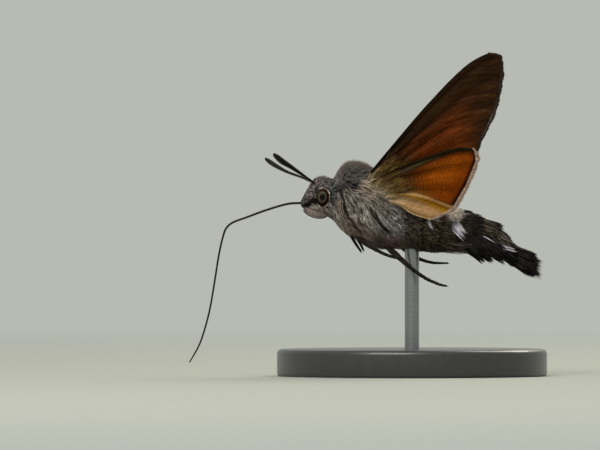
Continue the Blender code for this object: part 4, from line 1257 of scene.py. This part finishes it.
# %% Palps
PALP_AT, PALP_RADII, PALP_PITCH = (-4.93, -0.70, -1.16), (1.42, 0.52, 0.70), math.radians(16)


def palp_surface(side):
    """s runs from -1 at the front tip to 1 at the rear, the angle round the palp."""

    def surface(s, angle, grow=0.0):
        s = np.clip(s, -0.999, 0.999)
        round_off = np.sqrt(1 - s**2)
        x = s * (PALP_RADII[0] + grow)
        y = -np.cos(angle) * round_off * (PALP_RADII[1] + grow)
        z = np.sin(angle) * round_off * (PALP_RADII[2] + grow)
        cosine, sine = math.cos(PALP_PITCH), math.sin(PALP_PITCH)
        points = PALP_AT + np.stack([x * cosine + z * sine, y, -x * sine + z * cosine], -1)
        return THORAX + points * (1, side, 1)

    return surface


def palp_colours(s, angle):
    """The darkest and palest scales: browner at the tip, and cream along the upper edge."""
    tip, edge = fade(-s, 0.60, 0.97), fade(np.sin(angle), 0.45, 0.9) * fade(s, -0.7, -0.1)
    return painted("#8a7974", ("#4b3f40", tip)), painted("#cbb9b1", ("#867779", tip), ("#e2d8cf", edge))


for side_name, side in SIDES:
    surface, node = palp_surface(side), "palp_" + side_name
    # painted shade: the core under the scales takes the darkest scale colour at 0.8, for the gaps between
    # scales
    palp = bent_grid(
        "palp_core_" + side_name,
        60,
        40,
        lambda u, v: surface(-np.cos(u * math.pi), TAU * v, -0.06),
        lambda u, v: palp_colours(-np.cos(u * math.pi), TAU * v)[0] * 0.8,
    )
    finish_piece(palp, PALP_COAT, node)
    spots = spread_spots(3000, 1000)
    s, angle = 2 * spots[:, 0] - 1, spots[:, 1] * TAU
    draw = np.random.default_rng(1001)
    vary = draw.uniform(0.8, 1.2, len(s))
    lines, over, _ = lay(surface, s, angle, 0.26 * vary, 0.0, -0.07, 0.01 * vary, 3, mirror=False)
    tone = draw.uniform(0, 1, len(s))
    colours = shaded(*palp_colours(s, angle), tone, 3, root=0.75, tip=1.05, contrast=1.0)
    scales = tufts(lines, over, 0.085 * vary, colours, spots * (1 - PATCH), 1003, 0.3)
    join_tufts("palp_scales_" + side_name, [scales], PALP_COAT, node)

# %% [markdown]
# ## Wings
# A wing is a thin double skin stretched over a fan of veins and tiled with scales. The CAD's four edge curves
# of each wing are kept, and a grid is blended between them. Here the membrane is as thin as it can be
# drawn, with the veins raised on both faces, and it stops short of the outline to leave room for the fringe.

# %% Wing form
# the left wings' plane: their hinge, the way out along them, the way back across them, and outwards
HINGE = np.array((0.78, -2.80, 3.00))
SPAN = unit((0.665, -0.435, 0.607))
CHORD = np.array((0.6985, 0.0758, -0.711))
OUTWARDS = -unit(np.cross(SPAN, CHORD))
# the right wings are turned about the hinge a little further towards the tail
LAG = math.radians(3.0)
LAG_TURN = np.array(((math.cos(LAG), 0, math.sin(LAG)), (0, 1, 0), (-math.sin(LAG), 0, math.cos(LAG))))
# edges as (span, chord) in mm; veins at the edge and their stems at the root as shares of the chord;
# trim is how much shorter than the fringe says the membrane stops: everywhere, at the tip, at the rear
FOREWING = SimpleNamespace(
    front=np.array(((-1.6, 0.3), (4.7, -0.5), (11.6, -1.25), (17.8, -1.45), (21.7, -0.45))),
    outer=np.array(((21.7, -0.45), (21.78, 0.85), (19.7, 2.6), (17.3, 4.2), (14.0, 5.6), (11.6, 6.9))),
    inner=np.array(((-1.6, 1.9), (2.5, 3.1), (7.0, 5.0), (11.6, 6.9))),
    veins=(0.10, 0.21, 0.32, 0.44, 0.56, 0.68, 0.80, 0.93),
    stems=(0.12, 0.18, 0.24, 0.30, 0.56, 0.62, 0.68, 0.90),
    lift=0.0,
    fringe=0.32,
    trim=(0.55, 0.75, 0.0),
)
HINDWING = SimpleNamespace(
    front=np.array(((-2.2, 1.5), (2.0, 1.2), (6.4, 2.6), (10.5, 4.4), (12.0, 5.9))),
    outer=np.array(((12.0, 5.9), (11.0, 7.0), (7.9, 8.3), (4.9, 9.05), (2.3, 8.75))),
    inner=np.array(((-2.2, 2.8), (0.2, 4.2), (1.0, 6.6), (2.3, 8.75))),
    veins=(0.14, 0.29, 0.43, 0.56, 0.69, 0.84),
    stems=(0.16, 0.24, 0.32, 0.58, 0.66, 0.84),
    lift=1.08,
    fringe=0.50,
    trim=(-0.46, 0.30, 0.50),
)

# %% Places on a wing
def in_room(s, c, lift, side):
    """From the wing's own plane to the room, in mm. Lift is outwards, away from the other wing."""
    bend = 0.8 * (np.maximum(s, 0.0) / 22.0) ** 2
    point = HINGE + SPAN * s[..., None] + CHORD * c[..., None] + OUTWARDS * (lift - bend)[..., None]
    if side < 0:
        point = (HINGE + (point - HINGE) @ LAG_TURN.T) * (1, -1, 1)
    return THORAX + point


def in_plane(form, t, v):
    """A place (span, chord) inside the wing's four edges, t from the root out and v from front to rear."""
    f, n, o = smooth_at(form.front, t), smooth_at(form.inner, t), smooth_at(form.outer, v)
    t, v = t[..., None], v[..., None]
    root = form.front[0] * (1 - v) + form.inner[0] * v
    fronts, inners = (edge[0] * (1 - t) + edge[-1] * t for edge in (form.front, form.inner))
    return f * (1 - v) + n * v + root * (1 - t) + o * t - (fronts * (1 - v) + inners * v)


def chord_at(form, t):
    return np.linalg.norm(smooth_at(form.front, t) - smooth_at(form.inner, t), axis=-1)


def length_at(form, v):
    return np.linalg.norm(in_plane(form, np.ones_like(v), v) - in_plane(form, np.zeros_like(v), v), axis=-1)


def vein_distance(form, t, v):
    """How far each spot is from its nearest vein, in mm. A cross vein closes the cell in the middle."""
    spread = fade(t, 0.12, 0.42)
    nearest, chord = np.full(t.shape, 9.0), chord_at(form, t)
    for stem, end in zip(form.stems, form.veins):
        nearest = np.minimum(nearest, np.abs(v - (stem + (end - stem) * spread)) * chord)
    cell = (np.abs(t - 0.42) + 0.3 * (v - 0.45) ** 2) * 20
    return np.where((v > 0.30) & (v < 0.62), np.minimum(nearest, cell), nearest)


def trimmed(form, u, w, fringe=None):
    """The membrane's own t and v: it stops short of the outline and is rounded at the two outer corners."""
    everywhere, tip, rear = form.trim
    short = (form.fringe if fringe is None else fringe) + everywhere
    short = short + tip * (np.exp(-w / 0.05) + 0.35 * bell(w, 0, 0.3)) + rear * bell(w, 1, 0.15)
    t = u * (1 - short / length_at(form, w))
    return t, w * (1 - 0.2 / np.maximum(chord_at(form, t), 1.5))


# %% [markdown]
# ## Colours of the wings
# Raised wings turn their undersides outwards. There the forewing is dark brown with a rusty middle and an
# olive-buff root, and the hindwing glows orange between a darker margin, a golden fold and a tan rear field.
# The upper sides face each other and follow the species: grey-brown with dark wavy lines in front, orange
# behind. Each function below is a list of coats, the broad fields first and the fine lines last. An oval is
# a soft spot, and t and v say where on the wing it lies.

# %% Help with the wings' colours
# where the hindwing's fold starts, in mm along and across the wing, and the direction that it runs in
FOLD_AT, FOLD_WAY = (0.58, 3.06), (0.610, 0.793)


def oval(t, at_t, wide_t, v, at_v, wide_v):
    """1 at the middle of a soft oval spot of the wing, and less outwards."""
    return np.exp(-(((t - at_t) / wide_t) ** 2) - ((v - at_v) / wide_v) ** 2)


def streaks(t, v, chord, seed):
    """Fine light and dark lines along the wing, which show where scales lie thick or thin."""
    return ripple(t * 3.0, v * chord, 0.55, seed) * 0.6 + ripple(t * 8.0, v * chord, 0.22, seed + 1) * 0.4


def edge_distance(form, s, c):
    """How far spots (span, chord) are from the wing's outer edge, in mm."""
    outer = smooth_at(form.outer, np.linspace(0, 1, 60))
    return np.min([np.hypot(s - p[0], c - p[1]) for p in outer], axis=0)


def lane(form, s, c):
    """Keeps its value along the scale rows: they run outwards, on the forewing with a bend near its edge."""
    if form is HINDWING:
        return c
    return c - 0.2 * s - 0.055 * np.maximum(6.5 - edge_distance(form, s, c), 0.0) ** 2


def along_fold(s, c):
    """How far spots are along the hindwing's fold, and how far behind it."""
    s, c = s - FOLD_AT[0], c - FOLD_AT[1]
    return FOLD_WAY[0] * s + FOLD_WAY[1] * c, -FOLD_WAY[1] * s + FOLD_WAY[0] * c


# %% Underside of the forewing
def forewing_under(form, t, v):
    s, c = np.moveaxis(in_plane(form, t, v), -1, 0)
    chord = chord_at(form, t)
    across = lane(form, s, c)
    lines = fade(ripple(across, 0.04 * s, 0.90, 44), 0.3, 1.1) * fade(t, 0.45, 0.8) * fade(v, 0.10, 0.75)
    furrows = fade(-ripple(across, 0.04 * s, 0.80, 46), 0.2, 1.0) * fade(t, 0.15, 0.5)
    root = (1 - fade(s, 3.5, 8.0)) * (0.5 + 0.5 * ripple(t * 2.0, v * chord, 0.35, 45))
    paint = painted(
        "#2f1c0c",
        ("#5a280a", fade(t, 0.12, 0.32) * (1 - fade(t, 0.60, 0.88)) * fade(v, 0.22, 0.62)),
        ("#8c3f09", 0.8 * oval(t, 0.46, 0.21, v, 0.86, 0.16)),
        ("#762d08", 0.7 * oval(t, 0.24, 0.10, v, 0.55, 0.15)),
        ("#2e1b0c", 0.75 * fade(t, 0.72, 0.99)),
        ("#74370d", 0.6 * oval(t, 0.72, 0.16, v, 0.84, 0.18)),
        ("#4f3d1b", (1 - fade(s, 3.0, 7.0)) * fade(v, 0.30, 0.60)),
        ("#a48a5c", (1 - fade(s, 0.4, 2.6)) * fade(v, 0.50, 0.75)),
        ("#241d0b", 0.7 * (1 - fade(v, 0.05, 0.22)) * (1 - fade(t, 0.2, 0.5))),
        ("#080605", 1 - fade(v * chord, 0.12, 0.42)),
        ("#150d08", 0.8 * fade(t, 0.94, 0.99)),
        ("#0e0805", 0.40 * bell(vein_distance(form, t, v), 0, 0.10)),
        ("#8a5a38", 0.22 * lines * (1 - 0.7 * fade(t, 0.90, 1.0))),
        ("#150b05", 0.24 * furrows),
        ("#140d06", 0.65 * np.clip(root, 0, 1)),
    )
    return paint * (1 + 0.34 * streaks(t, v, chord, 41))[:, None]


# %% Underside of the hindwing
def hindwing_under(form, t, v):
    s, c = np.moveaxis(in_plane(form, t, v), -1, 0)
    chord = chord_at(form, t)
    rim = (trimmed(form, np.ones_like(v), v)[0] - t) * length_at(form, v)
    front, wide, past_root = v * chord * 0.7, 1.75 - 1.15 * t, fade(t, 0.14, 0.30)
    paint = painted(
        "#823a03",
        ("#a25205", oval(t, 0.68, 0.20, v, 0.36, 0.24)),
        ("#6e3507", 0.6 * oval(t, 0.38, 0.12, v, 0.46, 0.25)),
        ("#806331", 1 - fade(s, 2.0, 5.0)),
        ("#a98f5c", (1 - fade(s, 0.0, 2.4)) * 0.8),
        ("#793405", 0.4 * (1 - fade(rim, 0.3, 1.3))),
        ("#220d04", 0.94 * (1 - fade(rim, 0.24, 0.80))),
        # painted shadow: a dark band along the hindwing's front edge, where the forewing overlaps it
        ("#3d1d06", 0.55 * (1 - fade(front, 0.8 * wide, 2.1 * wide)) * past_root),
        ("#1f1a0b", 0.95 * ((1 - fade(front, 0.5 * wide, wide)) * past_root)),
        ("#6f6a4a", oval(t, 0.45, 0.13, front, 0.55, 0.14) * 0.8),
    )
    arc_mm = 0.42  # from one arc of scale rows to the next: they bend round the root
    arcs = np.sin(np.hypot(s - 1.0, c - 2.0) * TAU / arc_mm + 2.2 * ripple(t * 4, v * 4, 1.5, 55))
    paint = paint * (1 + 0.17 * arcs * fade(t, 0.28, 0.45) * (1 - 0.75 * fade(t, 0.60, 0.85)))[:, None]
    root = (1 - fade(s, 2.5, 6.5)) * (0.5 + 0.5 * ripple(t * 1.6, v * chord, 0.42, 56))
    run, fold = along_fold(s, c)
    fold = fold + 0.25 * (1 - run / 7) + 0.42 * np.sin(math.pi * np.clip(run / 7, 0, 1))
    wide = 0.12 + 0.70 * fade(run, 0.8, 6.9)
    gold = fade(fold, 0.0, 0.12) * (1 - fade(fold, wide, wide + 0.3)) * fade(run, 0.6, 2.6)
    veins = bell(vein_distance(form, t, v), 0, 0.10)
    paint = painted(
        paint,
        ("#2a1a07", 0.5 * np.clip(root, 0, 1) * fade(t, 0.12, 0.25)),
        ("#915a08", gold),
        ("#c08f2a", gold * fade(fold, 0.15, wide)),
        ("#c3996a", fade(fold, wide, wide + 0.35)),
        ("#dcc299", 0.7 * fade(fold, wide, wide + 0.4) * (1 - fade(run, 0.5, 3.5))),
        ("#b68d60", 0.5 * fade(fold, wide + 0.9, wide + 1.8)),
        # painted highlight: a pale line along the crest of the fold, which the membrane itself does not have
        ("#dfb877", 0.72 * bell(fold, -0.05, 0.15) * fade(run, 0.8, 2.5)),
        ("#5a2405", 0.30 * veins * (1 - 0.7 * fade(fold, 0.0, 0.3))),
    )
    return paint * (1 + 0.11 * streaks(t, v, chord, 51))[:, None]


# %% Upper sides of the wings
def forewing_over(form, t, v):
    chord = chord_at(form, t)
    wavy = t - (0.018 * np.sin(v * 19) + 0.012 * np.sin(v * 7 + 2))
    lines = ((0.30, 0.012, 0.75), (0.345, 0.010, 0.5), (0.60, 0.012, 0.8), (0.66, 0.009, 0.5))
    paint = painted(
        "#64584e",
        ("#4a4039", 0.6 * (1 - fade(t, 0.05, 0.25)) + 0.5 * fade(t, 0.75, 0.97)),
        *[("#1f1916", share * bell(wavy, at, wide)) for at, wide, share in lines],
        ("#8a7d70", 0.4 * bell(t, 0.53, 0.05)),
        ("#0d0a08", 1 - fade(np.hypot((t - 0.47) * 22, (v - 0.27) * chord), 0.30, 0.50)),
        ("#2e2621", 0.6 * bell(vein_distance(form, t, v), 0, 0.10) * fade(t, 0.5, 0.9)),
    )
    return paint * (1 + 0.18 * streaks(t, v, chord, 61))[:, None]


def hindwing_over(form, t, v):
    s, c = np.moveaxis(in_plane(form, t, v), -1, 0)
    chord = chord_at(form, t)
    paint = painted(
        "#a9590b",
        ("#5a3b1a", 1 - fade(s, 0.5, 4.0)),
        ("#4b2609", 0.9 * (1 - fade(edge_distance(form, s, c), 0.5, 1.6))),
        ("#8a7350", 0.7 * fade(along_fold(s, c)[1], 0.6, 1.4)),
        ("#6e3507", 0.35 * bell(vein_distance(form, t, v), 0, 0.10)),
        ("#2a2110", 1 - fade(v * chord, 0.15, 0.50)),
    )
    return paint * (1 + 0.14 * streaks(t, v, chord, 71))[:, None]


# %% [markdown]
# ## Wing material
# Wing scales are flat blades a tenth of a millimetre wide that overlap like tiles, in rows across the wing.
# The rows are drawn about twice as coarse, so that they show: cells of a Voronoi pattern, stretched
# along the span by the wing's own UV map, vary the tone and tilt the light. Over them lie long streaks, as
# wide as a quarter of a millimetre. A wing is thin, so part of the light passes through it: a Translucent
# shader is mixed in, and the lamp behind lets the hindwing glow.

# %% Wing material
CHART = 40.0


def wing_material(name, through, streaky):
    """Scale tiles in the marking's colours. One unit of the wing's UV map is CHART mm."""
    material, tree, shader = new_material(
        name, Roughness=0.6, Sheen_Weight=0.01, Sheen_Roughness=0.4, Specular_IOR_Level=0.05
    )
    marking = add_node(tree, "Attribute", {}, attribute_name="marking")["Color"]
    chart = add_node(tree, "UVMap", {}, uv_map="scale_rows")["UV"]
    rows, lanes = (
        add_node(tree, "Mapping", {"Vector": chart, "Scale": (CHART / long, CHART / wide, 1.0)})["Vector"]
        for long, wide in ((0.30, 0.17), (5.0, 0.26))
    )
    tiles = {"Vector": rows, "Scale": 1.0, "Randomness": 0.55}
    tile = add_node(tree, "TexVoronoi", tiles, voronoi_dimensions="2D")
    red = add_node(tree, "SeparateColor", {"Color": tile["Color"]})["Red"]
    streak = add_node(tree, "TexNoise", {"Vector": lanes, "Scale": 1.0, "Detail": 2.0})["Fac"]
    spans = (
        {"Value": red, "To Min": 0.86, "To Max": 1.16},
        {"Value": streak, "From Min": 0.3, "From Max": 0.7, "To Min": 1 - streaky, "To Max": 1 + streaky},
    )
    first, second = (add_node(tree, "MapRange", span)["Result"] for span in spans)
    both = add_node(tree, "Math", {0: first, 1: second}, operation="MULTIPLY")["Value"]
    tinted = add_node(tree, "HueSaturation", {"Color": marking, "Value": both})["Color"]
    dress(tree, shader, tinted, tile["Distance"], 0.012, 0.5)
    behind = add_node(tree, "BsdfTranslucent", {"Color": tinted})["BSDF"]
    mixed = add_node(tree, "MixShader", {0: through, 1: shader.outputs["BSDF"], 2: behind})["Shader"]
    tree.links.new(mixed, tree.nodes["Material Output"].inputs["Surface"])
    return material


FORE_SCALES = wing_material("forewing_scale_tiles", 0.15, 0.40)
HIND_SCALES = wing_material("hindwing_scale_tiles", 0.35, 0.08)

# %% Wings
def membrane(name, form, side, under, over):
    """A closed double skin. The first half of the grid's way round is the underside, the rest the upper."""

    def split(u, w):
        lower = w <= 0.5
        return lower, *trimmed(form, u, np.where(lower, w * 2, 2 - w * 2))

    def place(u, w):
        lower, t, v = split(u, w)
        s, c = np.moveaxis(in_plane(form, t, v), -1, 0)
        vein = bell(vein_distance(form, t, v), 0, 0.11) * (0.06 - 0.035 * t)
        vein = vein + bell(v * chord_at(form, t), 0, 0.2) * 0.06
        flute = 0.10 * np.sin(v * TAU * 4.5 + 0.6) * fade(t, 0.08, 0.3) * (1 - 0.6 * fade(t, 0.8, 1.0))
        half = 0.03 + vein
        # the two faces close at root and tip, and along the front and rear edges
        ends = np.minimum(u / 0.02, (1 - u) / 0.01)
        edges = np.minimum(w % 0.5, 0.5 - w % 0.5) / 0.02
        for near in (ends, edges):
            half = half * np.sin(np.clip(near, 0, 1) * math.pi / 2)
        return in_room(s, c, form.lift + flute + np.where(lower, half, -half), side)

    def paint(u, w):
        lower, t, v = split(u, w)
        return np.where(lower[:, None], under(form, t, v), over(form, t, v))

    def chart(u, w):
        lower, t, v = split(u, w)
        s, c = np.moveaxis(in_plane(form, t, v), -1, 0)
        return np.stack([(s + 5) / CHART, (lane(form, s, c) + 9) / CHART + np.where(lower, 0.0, 0.5)], -1)

    return bent_grid(name, 200, 140, place, paint, chart)


for side_name, side in SIDES:
    fore = membrane("forewing_skin_" + side_name, FOREWING, side, forewing_under, forewing_over)
    finish_piece(fore, (FORE_SCALES, "forewing_scales"), "forewing_" + side_name)
    hind = membrane("hindwing_skin_" + side_name, HINDWING, side, hindwing_under, hindwing_over)
    finish_piece(hind, (HIND_SCALES, "hindwing_scales"), "hindwing_" + side_name)

# %% [markdown]
# ## Fringes
# Long scales stand out from the edge of each wing like the fringe of a shawl. They are dark on the forewing
# and pinkish beige on the hindwing, and shorter at the end of each vein, which scallops the edge. Looser
# hairs stand along the rear edge. Both are straight tufts in the wing's plane, so one function makes them.

# %% Fringes
def edge_tufts(form, side, draw, at, start, way, reach, dark, pale, seed, loose, clump, root, widths):
    """Straight tufts from the wing's edge outwards, some a little above the others."""
    count, steps = len(at), np.linspace(0, 1, 4)[None, :, None]
    flat = start[:, None] + way[:, None] * reach[:, None, None] * steps
    flare = draw.normal(0, loose, count)[:, None] * steps[..., 0] + draw.uniform(-0.04, 0.04, count)[:, None]
    lines = in_room(flat[..., 0], flat[..., 1], form.lift + flare, side)
    tone = (1 - clump) * draw.uniform(0, 1, count) + clump * draw_cells(np.floor(at * 90), 0 * at, seed)
    colours = shaded(dark, pale, tone, 4, root=root, tip=1.1)
    roots = np.stack([at, draw.uniform(0, 1, count)], -1) * (1 - PATCH)
    width = draw.uniform(*widths, count)
    return tufts(lines, OUTWARDS * (1, side, 1), width, colours, roots, seed, 0.4, 0.25)


def fringe(form, side, count, dark, pale, seed):
    """Tufts from the membrane's outer edge to the wing's outline."""
    draw = np.random.default_rng(seed)
    w = np.sort(draw.uniform(0.0, 1.0, count))
    t, v = trimmed(form, np.ones(count), w)
    here = in_plane(form, t, v)
    out = unit(in_plane(form, *trimmed(form, np.ones(count), w, 0.0)) - here)
    way = out + draw.normal(0, 0.06, (count, 2))
    reach = form.fringe * draw.uniform(0.45, 1.05, count)
    reach = reach * (0.70 + 0.35 * fade(vein_distance(form, t, v), 0.0, 0.5)) + 0.06
    reach = reach * (0.4 + 0.6 * fade(w, 0.0, 0.12))
    start = here - out * 0.06
    look = dict(loose=0.05, clump=0.2, root=0.75, widths=(0.04, 0.075))
    return edge_tufts(form, side, draw, w, start, way, reach, dark, pale, seed, **look)


def rear_hairs(form, side, count, start, dark, pale, seed):
    """Hairs along the rear edge of a wing, from a share of its length out."""
    draw = np.random.default_rng(seed)
    u = start + np.sort(draw.uniform(0.0, 1.0, count)) * (1 - start)
    t, v = trimmed(form, u, np.ones(count))
    here, inside = in_plane(form, t, v), in_plane(form, t, v - 0.15)
    ahead = in_plane(form, np.minimum(t + 0.01, 1), v)
    way = unit(0.6 * unit(here - inside) + unit(ahead - here) + draw.normal(0, 0.12, (count, 2)))
    reach = 0.30 * draw.uniform(0.5, 1.15, count)
    start = here - way * 0.08
    look = dict(loose=0.06, clump=0.0, root=0.8, widths=(0.045, 0.07))
    return edge_tufts(form, side, draw, u, start, way, reach, dark, pale, seed, **look)


for side_name, side in SIDES:
    for wing, form, seed, fringes, hairs in (
        ("forewing", FOREWING, 81, (2200, "#140c07", "#3d2a1b"), (500, 0.3, "#1f1209", "#5a4028")),
        ("hindwing", HINDWING, 83, (2100, "#9a8070", "#c4ab99"), (700, 0.12, "#b8925f", "#e3c493")),
    ):
        edge = [fringe(form, side, *fringes, seed), rear_hairs(form, side, *hairs, seed + 1)]
        join_tufts(f"{wing}_fringe_{side_name}", edge, (WING_HAIR, wing + "_scales"), f"{wing}_{side_name}")

# %% [markdown]
# ## Hair at the wing roots
# Long pale hairs spring from the thorax at the hinge and fan out over the root of both wings, so that no one
# sees where wing and body meet. They lie on the wing's own surface and run outwards along the veins.

# %% Wing root hair
ROOT_HAIR = {
    # face, hairs, from and to along the span, from and to across it, length, seed, how far some are raised
    "forewing": (
        (1, 900, (-1.2, 3.2), (0.3, 2.4), 1.5, 91, 0.0),
        (1, 420, (-1.4, 2.2), (0.5, 2.2), 1.3, 95, 0.6),
        (-1, 600, (-1.2, 2.8), (0.2, 2.5), 1.5, 92, 0.0),
    ),
    "hindwing": (
        (1, 1100, (-1.6, 2.2), (1.5, 3.5), 1.6, 93, 0.0),
        (-1, 500, (-1.4, 2.2), (1.5, 3.4), 1.5, 94, 0.0),
    ),
}


def wing_hair(form, side, face, count, s_range, c_range, length, seed, raised):
    """Hairs on one face of a wing, cream at the hinge and olive further out. Face 1 is the underside."""
    draw = np.random.default_rng(seed)
    spots = spread_spots(count, seed)
    s = s_range[0] + spots[:, 0] ** 2.0 * (s_range[1] - s_range[0])
    c = c_range[0] + spots[:, 1] * (c_range[1] - c_range[0]) + 0.25 * s * (spots[:, 1] - 0.2)
    vary = draw.uniform(0.6, 1.3, count)
    rise, lean = raised * draw.uniform(0.1, 1.0, count), draw.normal(0, 0.13, count)

    def surface(at_s, at_c, height):
        return in_room(at_s, at_c, form.lift + face * (0.05 + rise + height), side)

    def flow(at_s, at_c):
        return -0.06 - 0.17 * (at_c - c_range[0]) + lean + 0.06 * ripple(at_s, at_c, 1.3, seed)

    high = draw.uniform(0.0, 0.14, count)
    shift, tone, _ = lock_cells(s, c, 0.22, seed, 0.4)
    tone = 0.5 * tone + 0.5 * draw.uniform(0, 1, count)
    lines, over, _ = lay(surface, s, c, length * vary, flow, -0.05, high, 5, shift, False)
    out = fade(s, s_range[0] + 0.2, s_range[0] + 0.62 * (s_range[1] - s_range[0]))
    dark, pale = painted("#66553a", ("#261908", out)), painted("#dfcba8", ("#8a6a30", out))
    colours = shaded(dark, pale, tone, 5, root=0.7, tip=1.0)
    return tufts(lines, over, 0.062 * vary, colours, spots * (1 - PATCH), seed)


for side_name, side in SIDES:
    for wing, form in (("forewing", FOREWING), ("hindwing", HINDWING)):
        hairs = [wing_hair(form, side, *row) for row in ROOT_HAIR[wing]]
        finish = WING_HAIR, wing + "_scales"
        join_tufts(f"{wing}_root_hair_{side_name}", hairs, finish, f"{wing}_{side_name}")

# %% [markdown]
# ## The stand
# A museum's stand should vanish: a small round base turned from aluminium and lacquered satin black, and one
# brushed steel rod. The base is a disc from the cone operator with its two rims bevelled. The rod is its
# CAD node's twin with more sides, and ends inside the belly. Both finishes, and the card of the floor, are
# one pattern: noise at the real size of the mark gives two close tones, and shine and relief where asked.

# %% Stand materials
def noisy_material(name, scale, detail, tones, shine, depth_mm, **constants):
    """Noise as two tones, as a range of roughness and as relief. The scale is in marks per metre."""
    material, tree, shader = new_material(name, **constants)
    place = add_node(tree, "TexCoord", {})["Object"]
    if isinstance(scale, tuple):
        place, scale = add_node(tree, "Mapping", {"Vector": place, "Scale": scale})["Vector"], 1.0
    marks = add_node(tree, "TexNoise", {"Vector": place, "Scale": scale, "Detail": detail})["Fac"]
    tone = add_node(tree, "ValToRGB", {"Fac": marks}, list(zip((0.0, 1.0), tones)))["Color"]
    if shine:
        span = {"Value": marks, "To Min": shine[0], "To Max": shine[1]}
        tree.links.new(add_node(tree, "MapRange", span)["Result"], shader.inputs["Roughness"])
        dress(tree, shader, tone, marks, depth_mm, 0.4)
    else:
        tree.links.new(tone, shader.inputs["Base Color"])
    return material, tree, shader, place


# satin lacquer: soft, even gloss with the faintest orange peel, nearly a millimetre from hump to hump
LACQUER = noisy_material(
    "satin_black_lacquer",
    1 / (0.9 * MM),
    2.0,
    ("#2a2a2c", "#38383a"),
    (0.28, 0.42),
    0.01,
    Roughness=0.34,
    IOR=1.5,
    Coat_Weight=0.2,
)[0]
# steel brushed round the rod: fine rings of scratches stretch every highlight
STEEL = noisy_material(
    "brushed_steel",
    (400.0, 400.0, 12000.0),
    4.0,
    ("#7d7f83", "#a9abae"),
    (0.2, 0.45),
    0.004,
    Roughness=0.3,
    Metallic=1.0,
)[0]

# %% Stand
def turned_disc(name, radius, low, high, sides, bevels):
    """An upright cylinder in mm whose rims are bevelled by the given widths, bottom first."""
    bm = bmesh.new()
    size = dict(radius1=radius * MM, radius2=radius * MM, depth=(high - low) * MM)
    bmesh.ops.create_cone(bm, cap_ends=True, segments=sides, **size)
    bmesh.ops.translate(bm, vec=(0, 0, (low + high) / 2 * MM), verts=bm.verts)
    for level, width in zip((low, high), bevels):
        rim = [e for e in bm.edges if all(abs(v.co.z - level * MM) < 1e-6 for v in e.verts)]
        how = dict(affect="EDGES", segments=4, profile=0.5, material=-1)
        bmesh.ops.bevel(bm, geom=rim, offset=width * MM, **how)
    disc = shown_form(name, bm)
    disc.data.set_sharp_from_angle(angle=math.radians(35))
    return disc


# the skin lies inside the CAD's belly, so the rod goes on to it
into_belly = 0.7
rod_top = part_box("stand_rod")[1][2] / MM + into_belly
base = turned_disc("stand_base_turned", 15.0, 0.0, 3.0, 160, (0.3, 0.5))
finish_piece(base, (LACQUER, "stand_lacquer"), "stand_base")
rod = turned_disc("stand_rod_brushed", 0.8, 2.7, rod_top, 48, ())
finish_piece(rod, (STEEL, "stand_steel"), "stand_rod")

# %% [markdown]
# ## Floor, light and camera
# The moth hovers over a plain pale floor that fades into a pale backdrop of the same tone. A broad soft
# lamp hangs above and a little in front, and a second one behind shines through the wings. The camera looks
# level from the moth's left side through a long lens.

# %% Floor and backdrop
BACKDROP = rgba("#b7bbb3")

# matt pale card, whose fibres are a millimetre or two long
look = dict(Roughness=0.9, Specular_IOR_Level=0.2)
card, tree, shader, place = noisy_material(
    "matt_pale_card", 1 / (1.5 * MM), 3.0, ("#9b9f98", "#a5a9a2"), None, 0.0, **look
)
# away from the stand it fades to the backdrop's own tone
away = add_node(tree, "VectorMath", {0: place}, operation="LENGTH")["Value"]
reach = {"Value": away, "From Min": 0.05, "From Max": 0.45}
share = add_node(tree, "MapRange", reach, interpolation_type="SMOOTHSTEP")["Result"]
far = add_node(tree, "Emission", {"Color": BACKDROP, "Strength": 1.0})["Emission"]
mixed = add_node(tree, "MixShader", {0: share, 1: shader.outputs["BSDF"], 2: far})["Shader"]
tree.links.new(mixed, tree.nodes["Material Output"].inputs["Surface"])

bm = bmesh.new()
bmesh.ops.create_circle(bm, cap_ends=True, segments=96, radius=2.6)
floor = shown_form("floor", bm)
floor.data.materials.append(card)
floor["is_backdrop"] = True

world = bpy.data.worlds.new("pale_backdrop")
world.use_nodes = True
backdrop = world.node_tree.nodes["Background"].inputs
backdrop["Color"].default_value, backdrop["Strength"].default_value = BACKDROP, 1.0
bpy.context.scene.world = world

# %% Lights
def soft_light(name, at_mm, target_mm, size_mm, watts, colour):
    """A square lamp that faces a target."""
    data = bpy.data.lights.new(name, "AREA")
    data.shape, data.size, data.energy, data.color = "SQUARE", size_mm * MM, watts, linear(colour)
    lamp = shown(name, data)
    lamp.location = [v * MM for v in at_mm]
    x, y, z = ((b - a) * MM for a, b in zip(at_mm, target_mm))
    lamp.rotation_euler = (math.atan2(math.hypot(x, y), -z), 0.0, math.atan2(y, x) - math.pi / 2)


soft_light("key_lamp", (-130, -300, 360), (0, 0, 18), 280, 1.9, "#fffaf2")
soft_light("back_lamp", (180, 260, 300), (0, 0, 24), 220, 1.1, "#fff4e6")

# %% Camera
camera_data = bpy.data.cameras.new("camera")
camera_data.lens, camera_data.sensor_width = 540, 36
camera_data.clip_start, camera_data.clip_end = 0.01, 10
camera = shown("camera", camera_data)
camera.location = (-12.44 * MM, -1.0, 16.78 * MM)
camera.rotation_euler = (math.pi / 2, 0, 0)
bpy.context.scene.camera = camera
bpy.context.scene.view_settings.view_transform = "Standard"

# %% Sizes and last line
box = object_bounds()
print("triangles in all:", sum(TRIANGLES.values()))
grown = [[round((b - a) / MM, 2) for a, b in zip(*pair)] for pair in zip(CAD_BOX, box)]
print("grows by mm, low and high:", grown)
